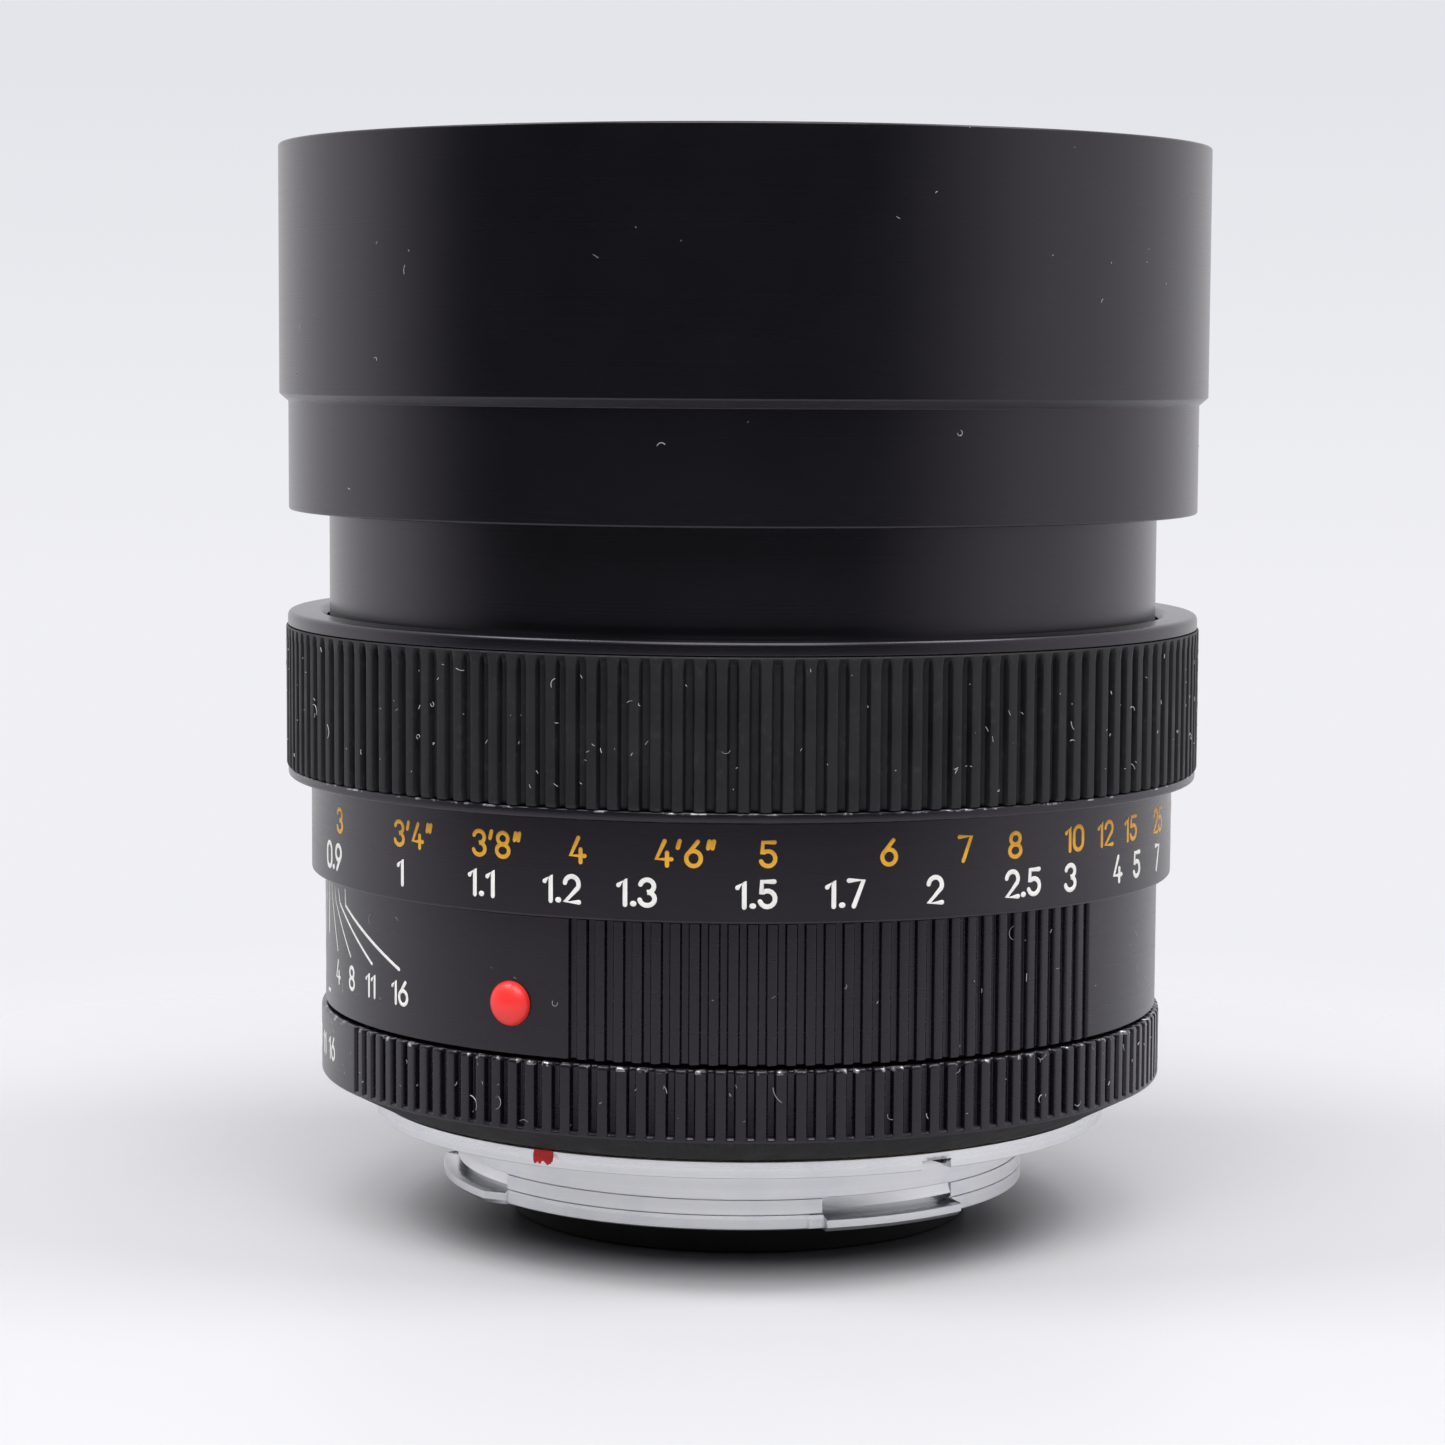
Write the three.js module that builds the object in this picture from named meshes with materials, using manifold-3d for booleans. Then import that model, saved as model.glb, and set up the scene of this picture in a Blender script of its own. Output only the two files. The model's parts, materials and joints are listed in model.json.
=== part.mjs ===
// Fast short-telephoto lens for a single-lens-reflex camera, standing on its rear end.
// Millimetres. +Z points to the front of the lens; Z = 0 is the rear end of the shroud.
// A bearing is an angle in degrees about +Z, 0 towards -Y and 90 towards +X.

import * as THREE from 'three';
import { mergeVertices } from 'three/addons/utils/BufferGeometryUtils.js';
import Module from 'manifold-3d';

const wasm = await Module();
wasm.setup();

// ---- Driving dimensions -------------------------------------------------------------

const RING_SIDES = 36;        // facets of the barrels and rings
const GLASS_SIDES = 24;       // facets of the glass and its spacers
const GAP = 0.05;             // between faces that rest on each other

const bayonet = {
  rear: 2.8, rIn: 20.4, rSeat: 21.3, rOut: 23.2,
  lugR: 24.35, lugTop: 3.75, recessR: 22.4, recessTop: 4.4,
};
const flange = { rear: 8.26, front: 9.6, r: 29.86, screwCircle: 27.6 };
const base = { rIn: 26.5, rOut: 29.0, rear: 9.65, front: 17.55 };
const apertureRing = { rIn: 29.3, rLip: 30.2, r: 34.3, rear: 9.8, bevelTop: 11.9, front: 17.35 };
const barrel = { rear: 17.6, webFront: 19.2, step: 28.25, front: 37.1, r: 33.96, rNeck: 33.55, rIn: 32.2 };
const scale = { rear: 28.33, front: 35.85, r: 35.05, rIn: 33.8 };
const grip = {
  rear: 35.95, rubberRear: 36.77, rubberFront: 48.09, front: 49.25,
  r: 36.9, rubberR: 37.04, rSeat: 35.9,
};
const drive = { rIn: 30.95, rOut: 31.95, rear: 24, webRear: 37.4, webFront: 40.0, rWeb: 33.6 };
const slide = { rIn: 29.4, rOut: 30.7, rear: 27.2, front: 47.95 };
const key = { rIn: 28.2, rOut: 30.5, halfWidth: 2.0, front: 36, bearing: 90 };
const tube = {
  rIn: 32.3, r: 33.53, rear: 48, front: 83,
  webR: 28.2, webFront: 49.5,      // joins the tube to the slide sleeve
  stopR: 34.4, stopRear: 80.5,     // keeps the hood from coming off
};
const frontCell = { rear: 39, shoulder: 49.6, front: 74, rNeck: 27.7, r: 31.9, mouthR: 18 };
const rearCell = { rear: 12.8, flangeRear: 31, flangeFront: 34, r: 18.6, rFlange: 24, bore: 16.7 };
const iris = {
  plateRear: 34.05, plateFront: 35, plateR: 27.7, opening: 17,
  pivotR: 26.5, pinR: 0.6, pinTop: 37.7,
  blades: 8, firstBlade: 35.15, bladePitch: 0.3, bladeThickness: 0.15, firstBearing: 101.25,
  ringRear: 37.8, ringFront: 38.8, ringIn: 17.4, ringR: 25.6,
  closedTurn: 30.53,          // how far each blade has turned in from fully open at rest
};
const bar = {
  rIn: 28.1, rOut: 29.1, halfWidth: 1.5, rear: 13.2, front: 39.8,
  footR: 30.7, footFront: 15, bearing: 240,
};
const barWindow = { from: 229, to: 279 };   // bearings swept by the drive bar, with room at each end
const stopDown = {
  rIn: 19.4, r: 26.1, rear: 9.8, front: 10.8,
  leverIn: 18.9, leverR: 20.1, leverRear: 1.8, bearing: 215,
};
const stopDownSlot = { from: 209, to: 243 };
const shroud = { rIn: 17.3, r: 18.6, discRear: 3.4, discFront: 4.6, discR: 21.1 };
const hood = {
  rear: 57.36, rIn: 34.8, rRear: 36.78, stepRear: 65.78, stepFront: 66.63, r: 37.5, front: 86.43,
  lipR: 33.8, lipFront: 58.4,      // catches the stop on the tube when the hood is out
  mouthR: 35.3, mouthDepth: 1.2,
};
const felt = { rIn: 33.65, r: 34.55, rear: 58.45, front: 62 };

// ---- Materials ------------------------------------------------------------------------

const finish = (color, roughness, metalness) => (
  new THREE.MeshStandardMaterial({ color, roughness, metalness }));
const blackMetal = finish(0x1d1d20, 0.42, 0.6);
const matteBlack = finish(0x0d0d0e, 0.9, 0.1);
const rubber = finish(0x1a1a1c, 0.75, 0);
const silver = finish(0xbfc0c2, 0.32, 1);
const brass = finish(0xa98a4b, 0.38, 1);
const steel = finish(0x8d9094, 0.35, 1);
const red = finish(0xb3161c, 0.25, 0);
const feltBlack = finish(0x141414, 1, 0);
const glass = new THREE.MeshStandardMaterial({
  color: 0xbcc8d8, roughness: 0.03, metalness: 0, transparent: true, opacity: 0.35,
});

// ---- Geometry helpers -------------------------------------------------------------------

const toRadians = (degrees) => degrees * Math.PI / 180;
const bearingAngle = (bearing) => toRadians(bearing - 90);     // bearing to the angle from +X

// A closed mesh with shared vertices, no empty triangles and its faces pointing out.
function closed(geometry) {
  geometry.deleteAttribute('normal');
  geometry.deleteAttribute('uv');
  const merged = mergeVertices(geometry, 1e-4);
  const position = merged.getAttribute('position');
  const index = merged.getIndex();
  const corner = [new THREE.Vector3(), new THREE.Vector3(), new THREE.Vector3()];
  const kept = [];
  let volume = 0;
  for (let i = 0; i < index.count; i += 3) {
    const triangle = [index.getX(i), index.getX(i + 1), index.getX(i + 2)];
    if (new Set(triangle).size < 3) continue;
    kept.push(triangle);
    triangle.forEach((vertex, k) => corner[k].fromBufferAttribute(position, vertex));
    volume += corner[0].dot(corner[1].cross(corner[2]));
  }
  merged.setIndex(kept.flatMap(([a, b, c]) => (volume < 0 ? [a, c, b] : [a, b, c])));
  return merged;
}

// A body of revolution from [radius, z] points. A ring's outline closes on itself.
function turned(outline, sides = RING_SIDES) {
  const onAxis = outline[0][0] === 0;
  const points = (onAxis ? outline : [...outline, outline[0]]).map(([r, z]) => new THREE.Vector2(r, z));
  return closed(new THREE.LatheGeometry(points, sides).rotateX(Math.PI / 2));
}

const tubeRing = (rIn, rOut, z0, z1, sides) => (
  turned([[rIn, z0], [rOut, z0], [rOut, z1], [rIn, z1]], sides));

// A flat outline in X and Y, raised from z0 to z1.
function plate(shape, z0, z1, curveSegments = 6) {
  const geometry = new THREE.ExtrudeGeometry(shape, { depth: z1 - z0, bevelEnabled: false, curveSegments });
  return closed(geometry.translate(0, 0, z0));
}

// A block between two radii and two bearings.
function sector(rIn, rOut, from, to, z0, z1, curveSegments = 3) {
  const shape = new THREE.Shape();
  shape.absarc(0, 0, rOut, bearingAngle(from), bearingAngle(to), false);
  shape.absarc(0, 0, rIn, bearingAngle(to), bearingAngle(from), true);
  return plate(shape, z0, z1, curveSegments);
}

// A straight-sided block, centred on a bearing, between two distances from the axis.
function block(rIn, rOut, halfWidth, bearing, z0, z1) {
  const box = new THREE.BoxGeometry(rOut - rIn, 2 * halfWidth, z1 - z0);
  box.translate((rIn + rOut) / 2, 0, (z0 + z1) / 2);
  return closed(box.rotateZ(bearingAngle(bearing)));
}

// A round pin parallel to the axis.
function pin(radius, distance, bearing, z0, z1, sides = 8) {
  const cylinder = new THREE.CylinderGeometry(radius, radius, z1 - z0, sides).rotateX(Math.PI / 2);
  return closed(cylinder.translate(distance, 0, (z0 + z1) / 2).rotateZ(bearingAngle(bearing)));
}

// A round pin that points at the axis.
function radialPin(radius, rIn, rOut, bearing, z, sides = 8) {
  const cylinder = new THREE.CylinderGeometry(radius, radius, rOut - rIn, sides).rotateZ(Math.PI / 2);
  return closed(cylinder.translate((rIn + rOut) / 2, 0, z).rotateZ(bearingAngle(bearing)));
}

function toSolid(geometry) {
  const vertProperties = new Float32Array(geometry.getAttribute('position').array);
  const triVerts = new Uint32Array(geometry.getIndex().array);
  return new wasm.Manifold(new wasm.Mesh({ numProp: 3, vertProperties, triVerts }));
}

// One body made of joined and cut pieces.
function carved(body, { add = [], cut = [] }) {
  let solid = toSolid(body);
  for (const piece of add) solid = solid.add(toSolid(piece));
  for (const tool of cut) solid = solid.subtract(toSolid(tool));
  const mesh = solid.getMesh();
  const geometry = new THREE.BufferGeometry();
  geometry.setAttribute('position', new THREE.BufferAttribute(new Float32Array(mesh.vertProperties), 3));
  geometry.setIndex(new THREE.BufferAttribute(new Uint32Array(mesh.triVerts), 1));
  return geometry;
}

const group = new THREE.Group();

function addPart(name, geometry, material) {
  const mesh = new THREE.Mesh(geometry, material);
  mesh.name = name;
  group.add(mesh);
  return mesh;
}

// ---- Camera mount ------------------------------------------------------------------------

const lugs = [[15.9, 45.5], [136, 172], [-93, -52.5]];
const screwBearings = [15, 105, 195, 285];
const screw = { headR: 1.7, headFront: 9.0, shankR: 0.75, front: 12.2 };
const SCREW_ROOM = 0.3;       // round each screw's head and shank
const plug = { r: 0.5, rIn: 28.4, bearing: -28.5, z: 8.93 };
const lockNotch = { bearing: 30.1, halfWidth: 1.2, rIn: 28.6 };

function bayonetMount() {
  const { rear, rIn, rSeat, rOut, lugR, lugTop, recessTop, recessR } = bayonet;
  const body = turned([
    [rSeat, rear], [rOut, rear], [rOut, flange.rear], [flange.r, flange.rear], [flange.r, flange.front],
    [rIn, flange.front], [rIn, shroud.discFront + GAP], [rSeat, shroud.discFront + GAP],
  ]);
  const add = lugs.map(([from, to]) => sector(rOut - 0.5, lugR, from, to, rear, lugTop));
  const cut = lugs.map(([from, to]) => sector(recessR, lugR + 1, from, to, lugTop, recessTop));
  for (const bearing of screwBearings) {
    const headSeat = screw.headFront + 0.1;
    cut.push(pin(screw.headR + SCREW_ROOM, flange.screwCircle, bearing, flange.rear - 1, headSeat));
    cut.push(pin(screw.shankR + SCREW_ROOM, flange.screwCircle, bearing, flange.rear, flange.front + 1));
  }
  const { rIn: notchR, halfWidth, bearing: notchBearing } = lockNotch;
  cut.push(radialPin(plug.r + 0.1, plug.rIn - 0.1, flange.r + 1, plug.bearing, plug.z));
  cut.push(block(notchR, flange.r + 1, halfWidth, notchBearing, flange.rear - 1, flange.front + 1));
  return carved(body, { add, cut });
}

function mountScrew(bearing) {
  const head = pin(screw.headR, flange.screwCircle, bearing, flange.rear + GAP, screw.headFront);
  const shank = pin(screw.shankR, flange.screwCircle, bearing, screw.headFront - 0.2, screw.front);
  return carved(head, { add: [shank] });
}

const click = {
  bearing: 0, z: 14, ballR: 1.2, ballCentre: 27.7, holeR: 1.4,
  leafIn: 25.9, leafOut: 26.2, halfSpan: 20,
};

function mountBase() {
  const body = tubeRing(base.rIn, base.rOut, base.rear, base.front);
  const cut = screwBearings.map((bearing) => (
    pin(screw.shankR + SCREW_ROOM, flange.screwCircle, bearing, base.rear - 1, screw.front + 0.2)));
  const { from, to } = barWindow;
  cut.push(sector(base.rIn - 1, base.rOut + 1, from, to, bar.rear - 0.6, base.front + 1, 4));
  cut.push(radialPin(click.holeR, base.rIn - 1, base.rOut + 1, click.bearing, click.z));
  return carved(body, { cut });
}

function rearShroud() {
  const { rIn, r, discRear, discFront, discR } = shroud;
  const body = turned([
    [rIn, 0], [r, 0], [r, discRear], [discR, discRear], [discR, discFront], [rIn, discFront],
  ]);
  const { from, to } = stopDownSlot;
  const slot = sector(r, stopDown.leverR + 0.3, from, to, discRear - 1, discFront + 1, 4);
  return carved(body, { cut: [slot] });
}

addPart('bayonet_mount', bayonetMount(), silver);
screwBearings.forEach((bearing, i) => addPart(`mount_screw_${i + 1}`, mountScrew(bearing), steel));
addPart('index_plug', radialPin(plug.r, plug.rIn, flange.r, plug.bearing, plug.z), silver);
addPart('mount_base', mountBase(), brass);
addPart('rear_shroud', rearShroud(), matteBlack);

// ---- Click stop --------------------------------------------------------------------------

function clickBall() {
  const ball = new THREE.SphereGeometry(click.ballR, 12, 8).translate(click.ballCentre, 0, click.z);
  return closed(ball.rotateZ(bearingAngle(click.bearing)));
}

function clickSpring() {
  const { bearing, halfSpan, leafIn, leafOut, z } = click;
  return sector(leafIn, leafOut, bearing - halfSpan, bearing + halfSpan, z - 1, z + 1, 4);
}

addPart('click_ball', clickBall(), steel);
addPart('click_spring', clickSpring(), steel);

// ---- Fixed barrel ------------------------------------------------------------------------

const bead = { r: 1.7, bearing: -30.65, z: 21.44, height: 1.0, seatIn: 33.0 };

function fixedBarrel() {
  const { rear, webFront, step, front, r, rNeck, rIn } = barrel;
  const body = turned([
    [base.rIn, rear], [r, rear], [r, step], [rNeck, step], [rNeck, front], [rIn, front], [rIn, webFront],
    [base.rIn, webFront],
  ]);
  const cut = [
    sector(bar.rIn - 0.4, bar.rOut + 0.3, barWindow.from, barWindow.to, rear - 1, webFront + 1, 4),
    radialPin(bead.r + 0.1, bead.seatIn - 0.1, r + 1, bead.bearing, bead.z, 16),
  ];
  return carved(body, { cut });
}

// A short stem with a low dome, standing out of the barrel's side.
function alignmentBead() {
  const domeSteps = 3;
  const outline = [[0, bead.seatIn], [bead.r, bead.seatIn]];
  for (let i = 0; i <= domeSteps; i += 1) {
    const turn = i / domeSteps * Math.PI / 2;
    outline.push([i === domeSteps ? 0 : bead.r * Math.cos(turn), barrel.r + bead.height * Math.sin(turn)]);
  }
  const dome = turned(outline, 16);
  return closed(dome.rotateY(Math.PI / 2).translate(0, 0, bead.z).rotateZ(bearingAngle(bead.bearing)));
}

function guideKey() {
  return block(key.rIn, key.rOut, key.halfWidth, key.bearing, barrel.webFront + 0.1, key.front);
}

addPart('fixed_barrel', fixedBarrel(), blackMetal);
addPart('alignment_bead', alignmentBead(), red);
addPart('guide_key', guideKey(), brass);

// ---- Focusing group ----------------------------------------------------------------------

const setScrew = { bearings: [40, 160, 280], r: 0.7, rIn: 32.6, rOut: 35.6, z: 38.7 };
const setScrewHoles = setScrew.bearings.map((bearing) => (
  radialPin(setScrew.r + 0.2, setScrew.rIn - 0.2, setScrew.rOut + 1, bearing, setScrew.z, 8)));

function focusRing() {
  const { rear, rubberRear, rubberFront, front, r, rSeat } = grip;
  const body = turned([
    [scale.rIn, rear], [r, rear], [r, rubberRear - GAP], [rSeat, rubberRear - GAP],
    [rSeat, rubberFront + GAP], [r, rubberFront + GAP], [r, front - 0.4], [r - 0.4, front],
    [scale.rIn, front],
  ]);
  return carved(body, { cut: setScrewHoles });
}

function driveSleeve() {
  const { rIn, rOut, rear, webRear, webFront, rWeb } = drive;
  const body = turned([
    [rIn, rear], [rOut, rear], [rOut, webRear], [rWeb, webRear], [rWeb, webFront], [rIn, webFront],
  ]);
  return carved(body, { cut: setScrewHoles });
}

addPart('focus_ring', focusRing(), blackMetal);
addPart('rubber_grip', tubeRing(grip.rSeat + GAP, grip.rubberR, grip.rubberRear, grip.rubberFront), rubber);
addPart('distance_scale_ring', tubeRing(scale.rIn, scale.r, scale.rear, scale.front), blackMetal);
addPart('helicoid_drive_sleeve', driveSleeve(), brass);
setScrew.bearings.forEach((bearing, i) => {
  const { r, rIn, rOut, z } = setScrew;
  addPart(`set_screw_${i + 1}`, radialPin(r, rIn, rOut, bearing, z, 8), steel);
});

// ---- Aperture ring -----------------------------------------------------------------------

function apertureRingBody() {
  const { rIn, rLip, r, rear, bevelTop, front } = apertureRing;
  const body = turned([[rIn, rear], [rLip, rear], [r, bevelTop], [r, front], [rIn, front]]);
  const room = 0.3;
  const pocketRear = bar.rear - room;
  const pocket = block(rIn - 1, bar.footR + room, bar.halfWidth + room, bar.bearing, pocketRear, front + 1);
  return carved(body, { cut: [pocket] });
}

// An upright bar with a foot that reaches out into the ring.
function apertureDriveBar() {
  const { rIn, rOut, halfWidth, rear, front, footR, footFront, bearing } = bar;
  const upright = block(rIn, rOut, halfWidth, bearing, rear, front);
  return carved(upright, { add: [block(rIn, footR, halfWidth, bearing, rear, footFront)] });
}

addPart('aperture_ring', apertureRingBody(), blackMetal);
addPart('aperture_drive_bar', apertureDriveBar(), steel);

// ---- Stop-down linkage -------------------------------------------------------------------

addPart('stop_down_ring', tubeRing(stopDown.rIn, stopDown.r, stopDown.rear, stopDown.front), steel);

function stopDownLever() {
  const { leverIn, leverR, leverRear, rear, bearing } = stopDown;
  const halfSpan = 3.5;
  return sector(leverIn, leverR, bearing - halfSpan, bearing + halfSpan, leverRear, rear - GAP, 2);
}

addPart('stop_down_lever', stopDownLever(), steel);

// ---- Optical unit: barrels ---------------------------------------------------------------

function frontBarrel() {
  const { rIn, r, rear, webFront, webR, stopRear, stopR, front } = tube;
  return turned([
    [webR, rear], [r, rear], [r, stopRear], [stopR, stopRear], [stopR, front], [rIn, front],
    [rIn, webFront], [webR, webFront],
  ]);
}

// The slot is open at the rear and long enough for the whole focusing travel.
function slideSleeve() {
  const { rIn, rOut, rear, front } = slide;
  const slotFront = 44.2;
  const slot = block(rIn - 1, rOut + 1, key.halfWidth + 0.3, key.bearing, rear - 1, slotFront);
  return carved(tubeRing(rIn, rOut, rear, front), { cut: [slot] });
}

// Seats for the cemented pair, the second glass and the front glass, stepping out towards the front.
const seats = { doublet: 41.5, second: 56.5, front: 64.9 };
const glassR = { front: 29.4, second: 25.5, doublet: 21.5, rear: 16.5 };
const boreGap = 0.25;

function frontCellBody() {
  const { rear, shoulder, front, rNeck, r, mouthR } = frontCell;
  const doubletBore = glassR.doublet + boreGap;
  const secondBore = glassR.second + boreGap;
  const frontBore = glassR.front + boreGap;
  return turned([
    [mouthR, rear], [rNeck, rear], [rNeck, shoulder], [r, shoulder], [r, front], [frontBore, front],
    [frontBore, seats.front], [secondBore, seats.front], [secondBore, seats.second],
    [doubletBore, seats.second], [doubletBore, seats.doublet], [mouthR, seats.doublet],
  ]);
}

function rearCellBody() {
  const { rear, flangeRear, flangeFront, r, rFlange, bore } = rearCell;
  const lip = { r: 15.4, front: 14.6 };
  return turned([
    [lip.r, rear], [r, rear], [r, flangeRear], [rFlange, flangeRear], [rFlange, flangeFront],
    [bore, flangeFront], [bore, lip.front], [lip.r, lip.front],
  ]);
}

addPart('front_barrel', frontBarrel(), blackMetal);
addPart('helicoid_slide_sleeve', slideSleeve(), brass);
addPart('front_cell', frontCellBody(), matteBlack);
addPart('rear_cell', rearCellBody(), matteBlack);

// ---- Optical unit: glass -----------------------------------------------------------------

// Height of a spherical surface at radius r. A positive curvature radius bulges towards +Z.
function surfaceHeight({ vertex, curve }, r) {
  if (!Number.isFinite(curve)) return vertex;
  const sag = Math.abs(curve) - Math.sqrt(curve * curve - r * r);
  return vertex - Math.sign(curve) * sag;
}

// Points out from the axis to the edge of the ground surface, with its flat rim if it has one.
function surfacePoints(surface, edgeR) {
  const clearR = surface.clearR ?? edgeR;
  const steps = Number.isFinite(surface.curve) ? 3 : 1;
  const points = [];
  for (let i = 0; i <= steps; i += 1) {
    const r = clearR * i / steps;
    points.push([r, surfaceHeight(surface, r)]);
  }
  if (clearR < edgeR) points.push([edgeR, surfaceHeight(surface, clearR)]);
  return points;
}

const lenses = [
  { edgeR: glassR.front, front: { vertex: 77, curve: 55 }, back: { vertex: 68, curve: 150 } },
  { edgeR: glassR.second, front: { vertex: 66.5, curve: 45 }, back: { vertex: 60.5, curve: 90 } },
  { edgeR: glassR.doublet, front: { vertex: 59.5, curve: 32 }, back: { vertex: 50.6, curve: Infinity } },
  {
    edgeR: glassR.doublet,
    front: { vertex: 50.5, curve: Infinity },
    back: { vertex: 47.5, curve: 24, clearR: 15.5 },
  },
  {
    edgeR: glassR.rear,
    front: { vertex: 28.5, curve: -24, clearR: 13.5 },
    back: { vertex: 26.8, curve: Infinity },
  },
  { edgeR: glassR.rear, front: { vertex: 26.7, curve: Infinity }, back: { vertex: 19.5, curve: -30 } },
  { edgeR: glassR.rear, front: { vertex: 18.9, curve: 60 }, back: { vertex: 13.3, curve: -80 } },
];

lenses.forEach(({ edgeR, front, back }, i) => {
  const outline = [...surfacePoints(front, edgeR), ...surfacePoints(back, edgeR).reverse()];
  addPart(`lens_${i + 1}`, turned(outline, GLASS_SIDES), glass);
});

// Rings that space the glass and hold it in. Each fits the same bore as the glass that it touches.
const glassRings = {
  front_retaining_ring: { rIn: 28.2, rOut: glassR.front, rear: 69.6, front: 72 },
  front_spacer_ring: { rIn: 24.2, rOut: glassR.second, rear: 59.8, front: 64.8 },
  doublet_retaining_ring: { rIn: 20.3, rOut: glassR.doublet, rear: 52.6, front: 53.9 },
  rear_group_retaining_ring: { rIn: 14.5, rOut: glassR.rear, rear: 32.9, front: 33.9 },
  rear_spacer_ring: { rIn: 15.9, rOut: glassR.rear, rear: 17.0, front: 23.9 },
};

for (const [name, { rIn, rOut, rear, front }] of Object.entries(glassRings)) {
  addPart(name, tubeRing(rIn, rOut, rear, front, GLASS_SIDES), matteBlack);
}

// The plain ring round the front glass. Its inner face is a cone.
const bezel = { rIn: 29.0, rOut: 31.95, rFront: 31.2, seat: 1.4, front: 81.5 };

function nameBezel() {
  const { rIn, rOut, rFront, seat, front } = bezel;
  const rear = frontCell.front + GAP;
  return turned([[rIn, rear], [rOut, rear], [rOut, front], [rFront, front], [rIn, rear + seat]]);
}

addPart('name_bezel', nameBezel(), blackMetal);

// ---- Optical unit: iris ------------------------------------------------------------------

const bladeStep = 360 / iris.blades;
const pivotBearings = Array.from({ length: iris.blades }, (_, i) => iris.firstBearing + i * bladeStep);
const post = { bearings: [33.75, 168.75, 303.75], r: 0.5, distance: 26.8 };   // hold the plate to the cell

function irisBasePlate() {
  const body = tubeRing(iris.opening, iris.plateR, iris.plateRear, iris.plateFront);
  const inPlate = iris.plateFront - 0.4;
  const pins = pivotBearings.map((bearing) => pin(iris.pinR, iris.pivotR, bearing, inPlate, iris.pinTop));
  const postTop = frontCell.rear - 0.1;
  const posts = post.bearings.map((bearing) => pin(post.r, post.distance, bearing, inPlate, postTop));
  return carved(body, { add: [...pins, ...posts] });
}

// A crescent that hides behind the plate when fully open, with an ear round its pivot pin.
// It is drawn with its pivot on +X, fully open, then turned in to its rest position.
function irisBlade(index) {
  const edge = { rIn: 17.2, rOut: 25.4, root: -3, tip: 108, shoulder: 6, taper: 5 };
  const ear = { r: 1.15, hole: iris.pinR + 0.15, from: 110 };
  const shape = new THREE.Shape();
  shape.absarc(0, 0, edge.rIn, toRadians(edge.root), toRadians(edge.tip), false);
  shape.absarc(0, 0, edge.rOut, toRadians(edge.tip - edge.taper), toRadians(edge.shoulder), true);
  shape.absarc(iris.pivotR, 0, ear.r, toRadians(ear.from), toRadians(-ear.from), true);
  shape.closePath();
  const hole = new THREE.Path();
  hole.absarc(iris.pivotR, 0, ear.hole, 0, 2 * Math.PI, false);
  shape.holes.push(hole);
  const z = iris.firstBlade + index * iris.bladePitch;
  const geometry = plate(shape, z, z + iris.bladeThickness, 5);
  geometry.translate(-iris.pivotR, 0, 0);
  geometry.rotateZ(toRadians(iris.closedTurn));
  geometry.translate(iris.pivotR, 0, 0);
  return geometry.rotateZ(bearingAngle(pivotBearings[index]));
}

// A flat ring with a fork that straddles the aperture drive bar.
function irisControlRing() {
  const fork = { halfWidth: 3.5, r: 28.9, slotHalf: bar.halfWidth + 0.3, slotR: bar.rIn - 0.3 };
  const { ringIn, ringR, ringRear, ringFront } = iris;
  const body = tubeRing(ringIn, ringR, ringRear, ringFront);
  const arm = block(ringR - 1, fork.r, fork.halfWidth, bar.bearing, ringRear, ringFront);
  const slot = block(fork.slotR, fork.r + 1, fork.slotHalf, bar.bearing, ringRear - 1, ringFront + 1);
  return carved(body, { add: [arm], cut: [slot] });
}

addPart('iris_base_plate', irisBasePlate(), matteBlack);
pivotBearings.forEach((_, i) => addPart(`iris_blade_${i + 1}`, irisBlade(i), steel));
addPart('iris_control_ring', irisControlRing(), brass);

// ---- Hood --------------------------------------------------------------------------------

function hoodShell() {
  const { rear, lipFront, lipR, rIn, rRear, stepRear, stepFront, r, front, mouthR, mouthDepth } = hood;
  const edge = 0.35;
  return turned([
    [lipR, rear], [rRear - edge, rear], [rRear, rear + edge], [rRear, stepRear], [r, stepFront],
    [r, front - edge], [r - edge, front], [mouthR, front], [rIn, front - mouthDepth], [rIn, lipFront],
    [lipR, lipFront],
  ]);
}

addPart('hood_shell', hoodShell(), blackMetal);
addPart('hood_felt_ring', tubeRing(felt.rIn, felt.r, felt.rear, felt.front), feltBlack);

export default group;
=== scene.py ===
"""Looks for the short-telephoto camera lens that stands on its rear end.

Sizes are in millimetres, and turn into metres where a mesh or a place is made.
A bearing is in degrees about +Z: 0 towards -Y, where the camera stands, and 90 towards +X.
"""

import json
import math
import random

import bmesh
import bpy
import numpy as np
from mathutils import Matrix, Vector


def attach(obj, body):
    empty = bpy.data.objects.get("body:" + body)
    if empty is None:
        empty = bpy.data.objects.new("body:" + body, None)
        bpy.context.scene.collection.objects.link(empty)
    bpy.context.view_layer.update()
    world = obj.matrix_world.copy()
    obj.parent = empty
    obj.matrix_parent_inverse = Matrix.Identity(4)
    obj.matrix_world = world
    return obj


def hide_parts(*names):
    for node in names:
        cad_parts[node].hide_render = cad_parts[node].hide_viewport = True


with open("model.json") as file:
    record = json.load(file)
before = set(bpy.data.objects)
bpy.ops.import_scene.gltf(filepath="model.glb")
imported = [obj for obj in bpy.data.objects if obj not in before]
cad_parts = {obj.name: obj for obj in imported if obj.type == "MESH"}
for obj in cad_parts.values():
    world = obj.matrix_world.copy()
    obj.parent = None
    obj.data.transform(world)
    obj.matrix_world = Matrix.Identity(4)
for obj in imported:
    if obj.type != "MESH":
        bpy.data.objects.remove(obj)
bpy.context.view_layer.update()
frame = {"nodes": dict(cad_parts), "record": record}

MM = 0.001
PLAIN_STEP = 1.25  # degrees between columns of a plain ring
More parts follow.
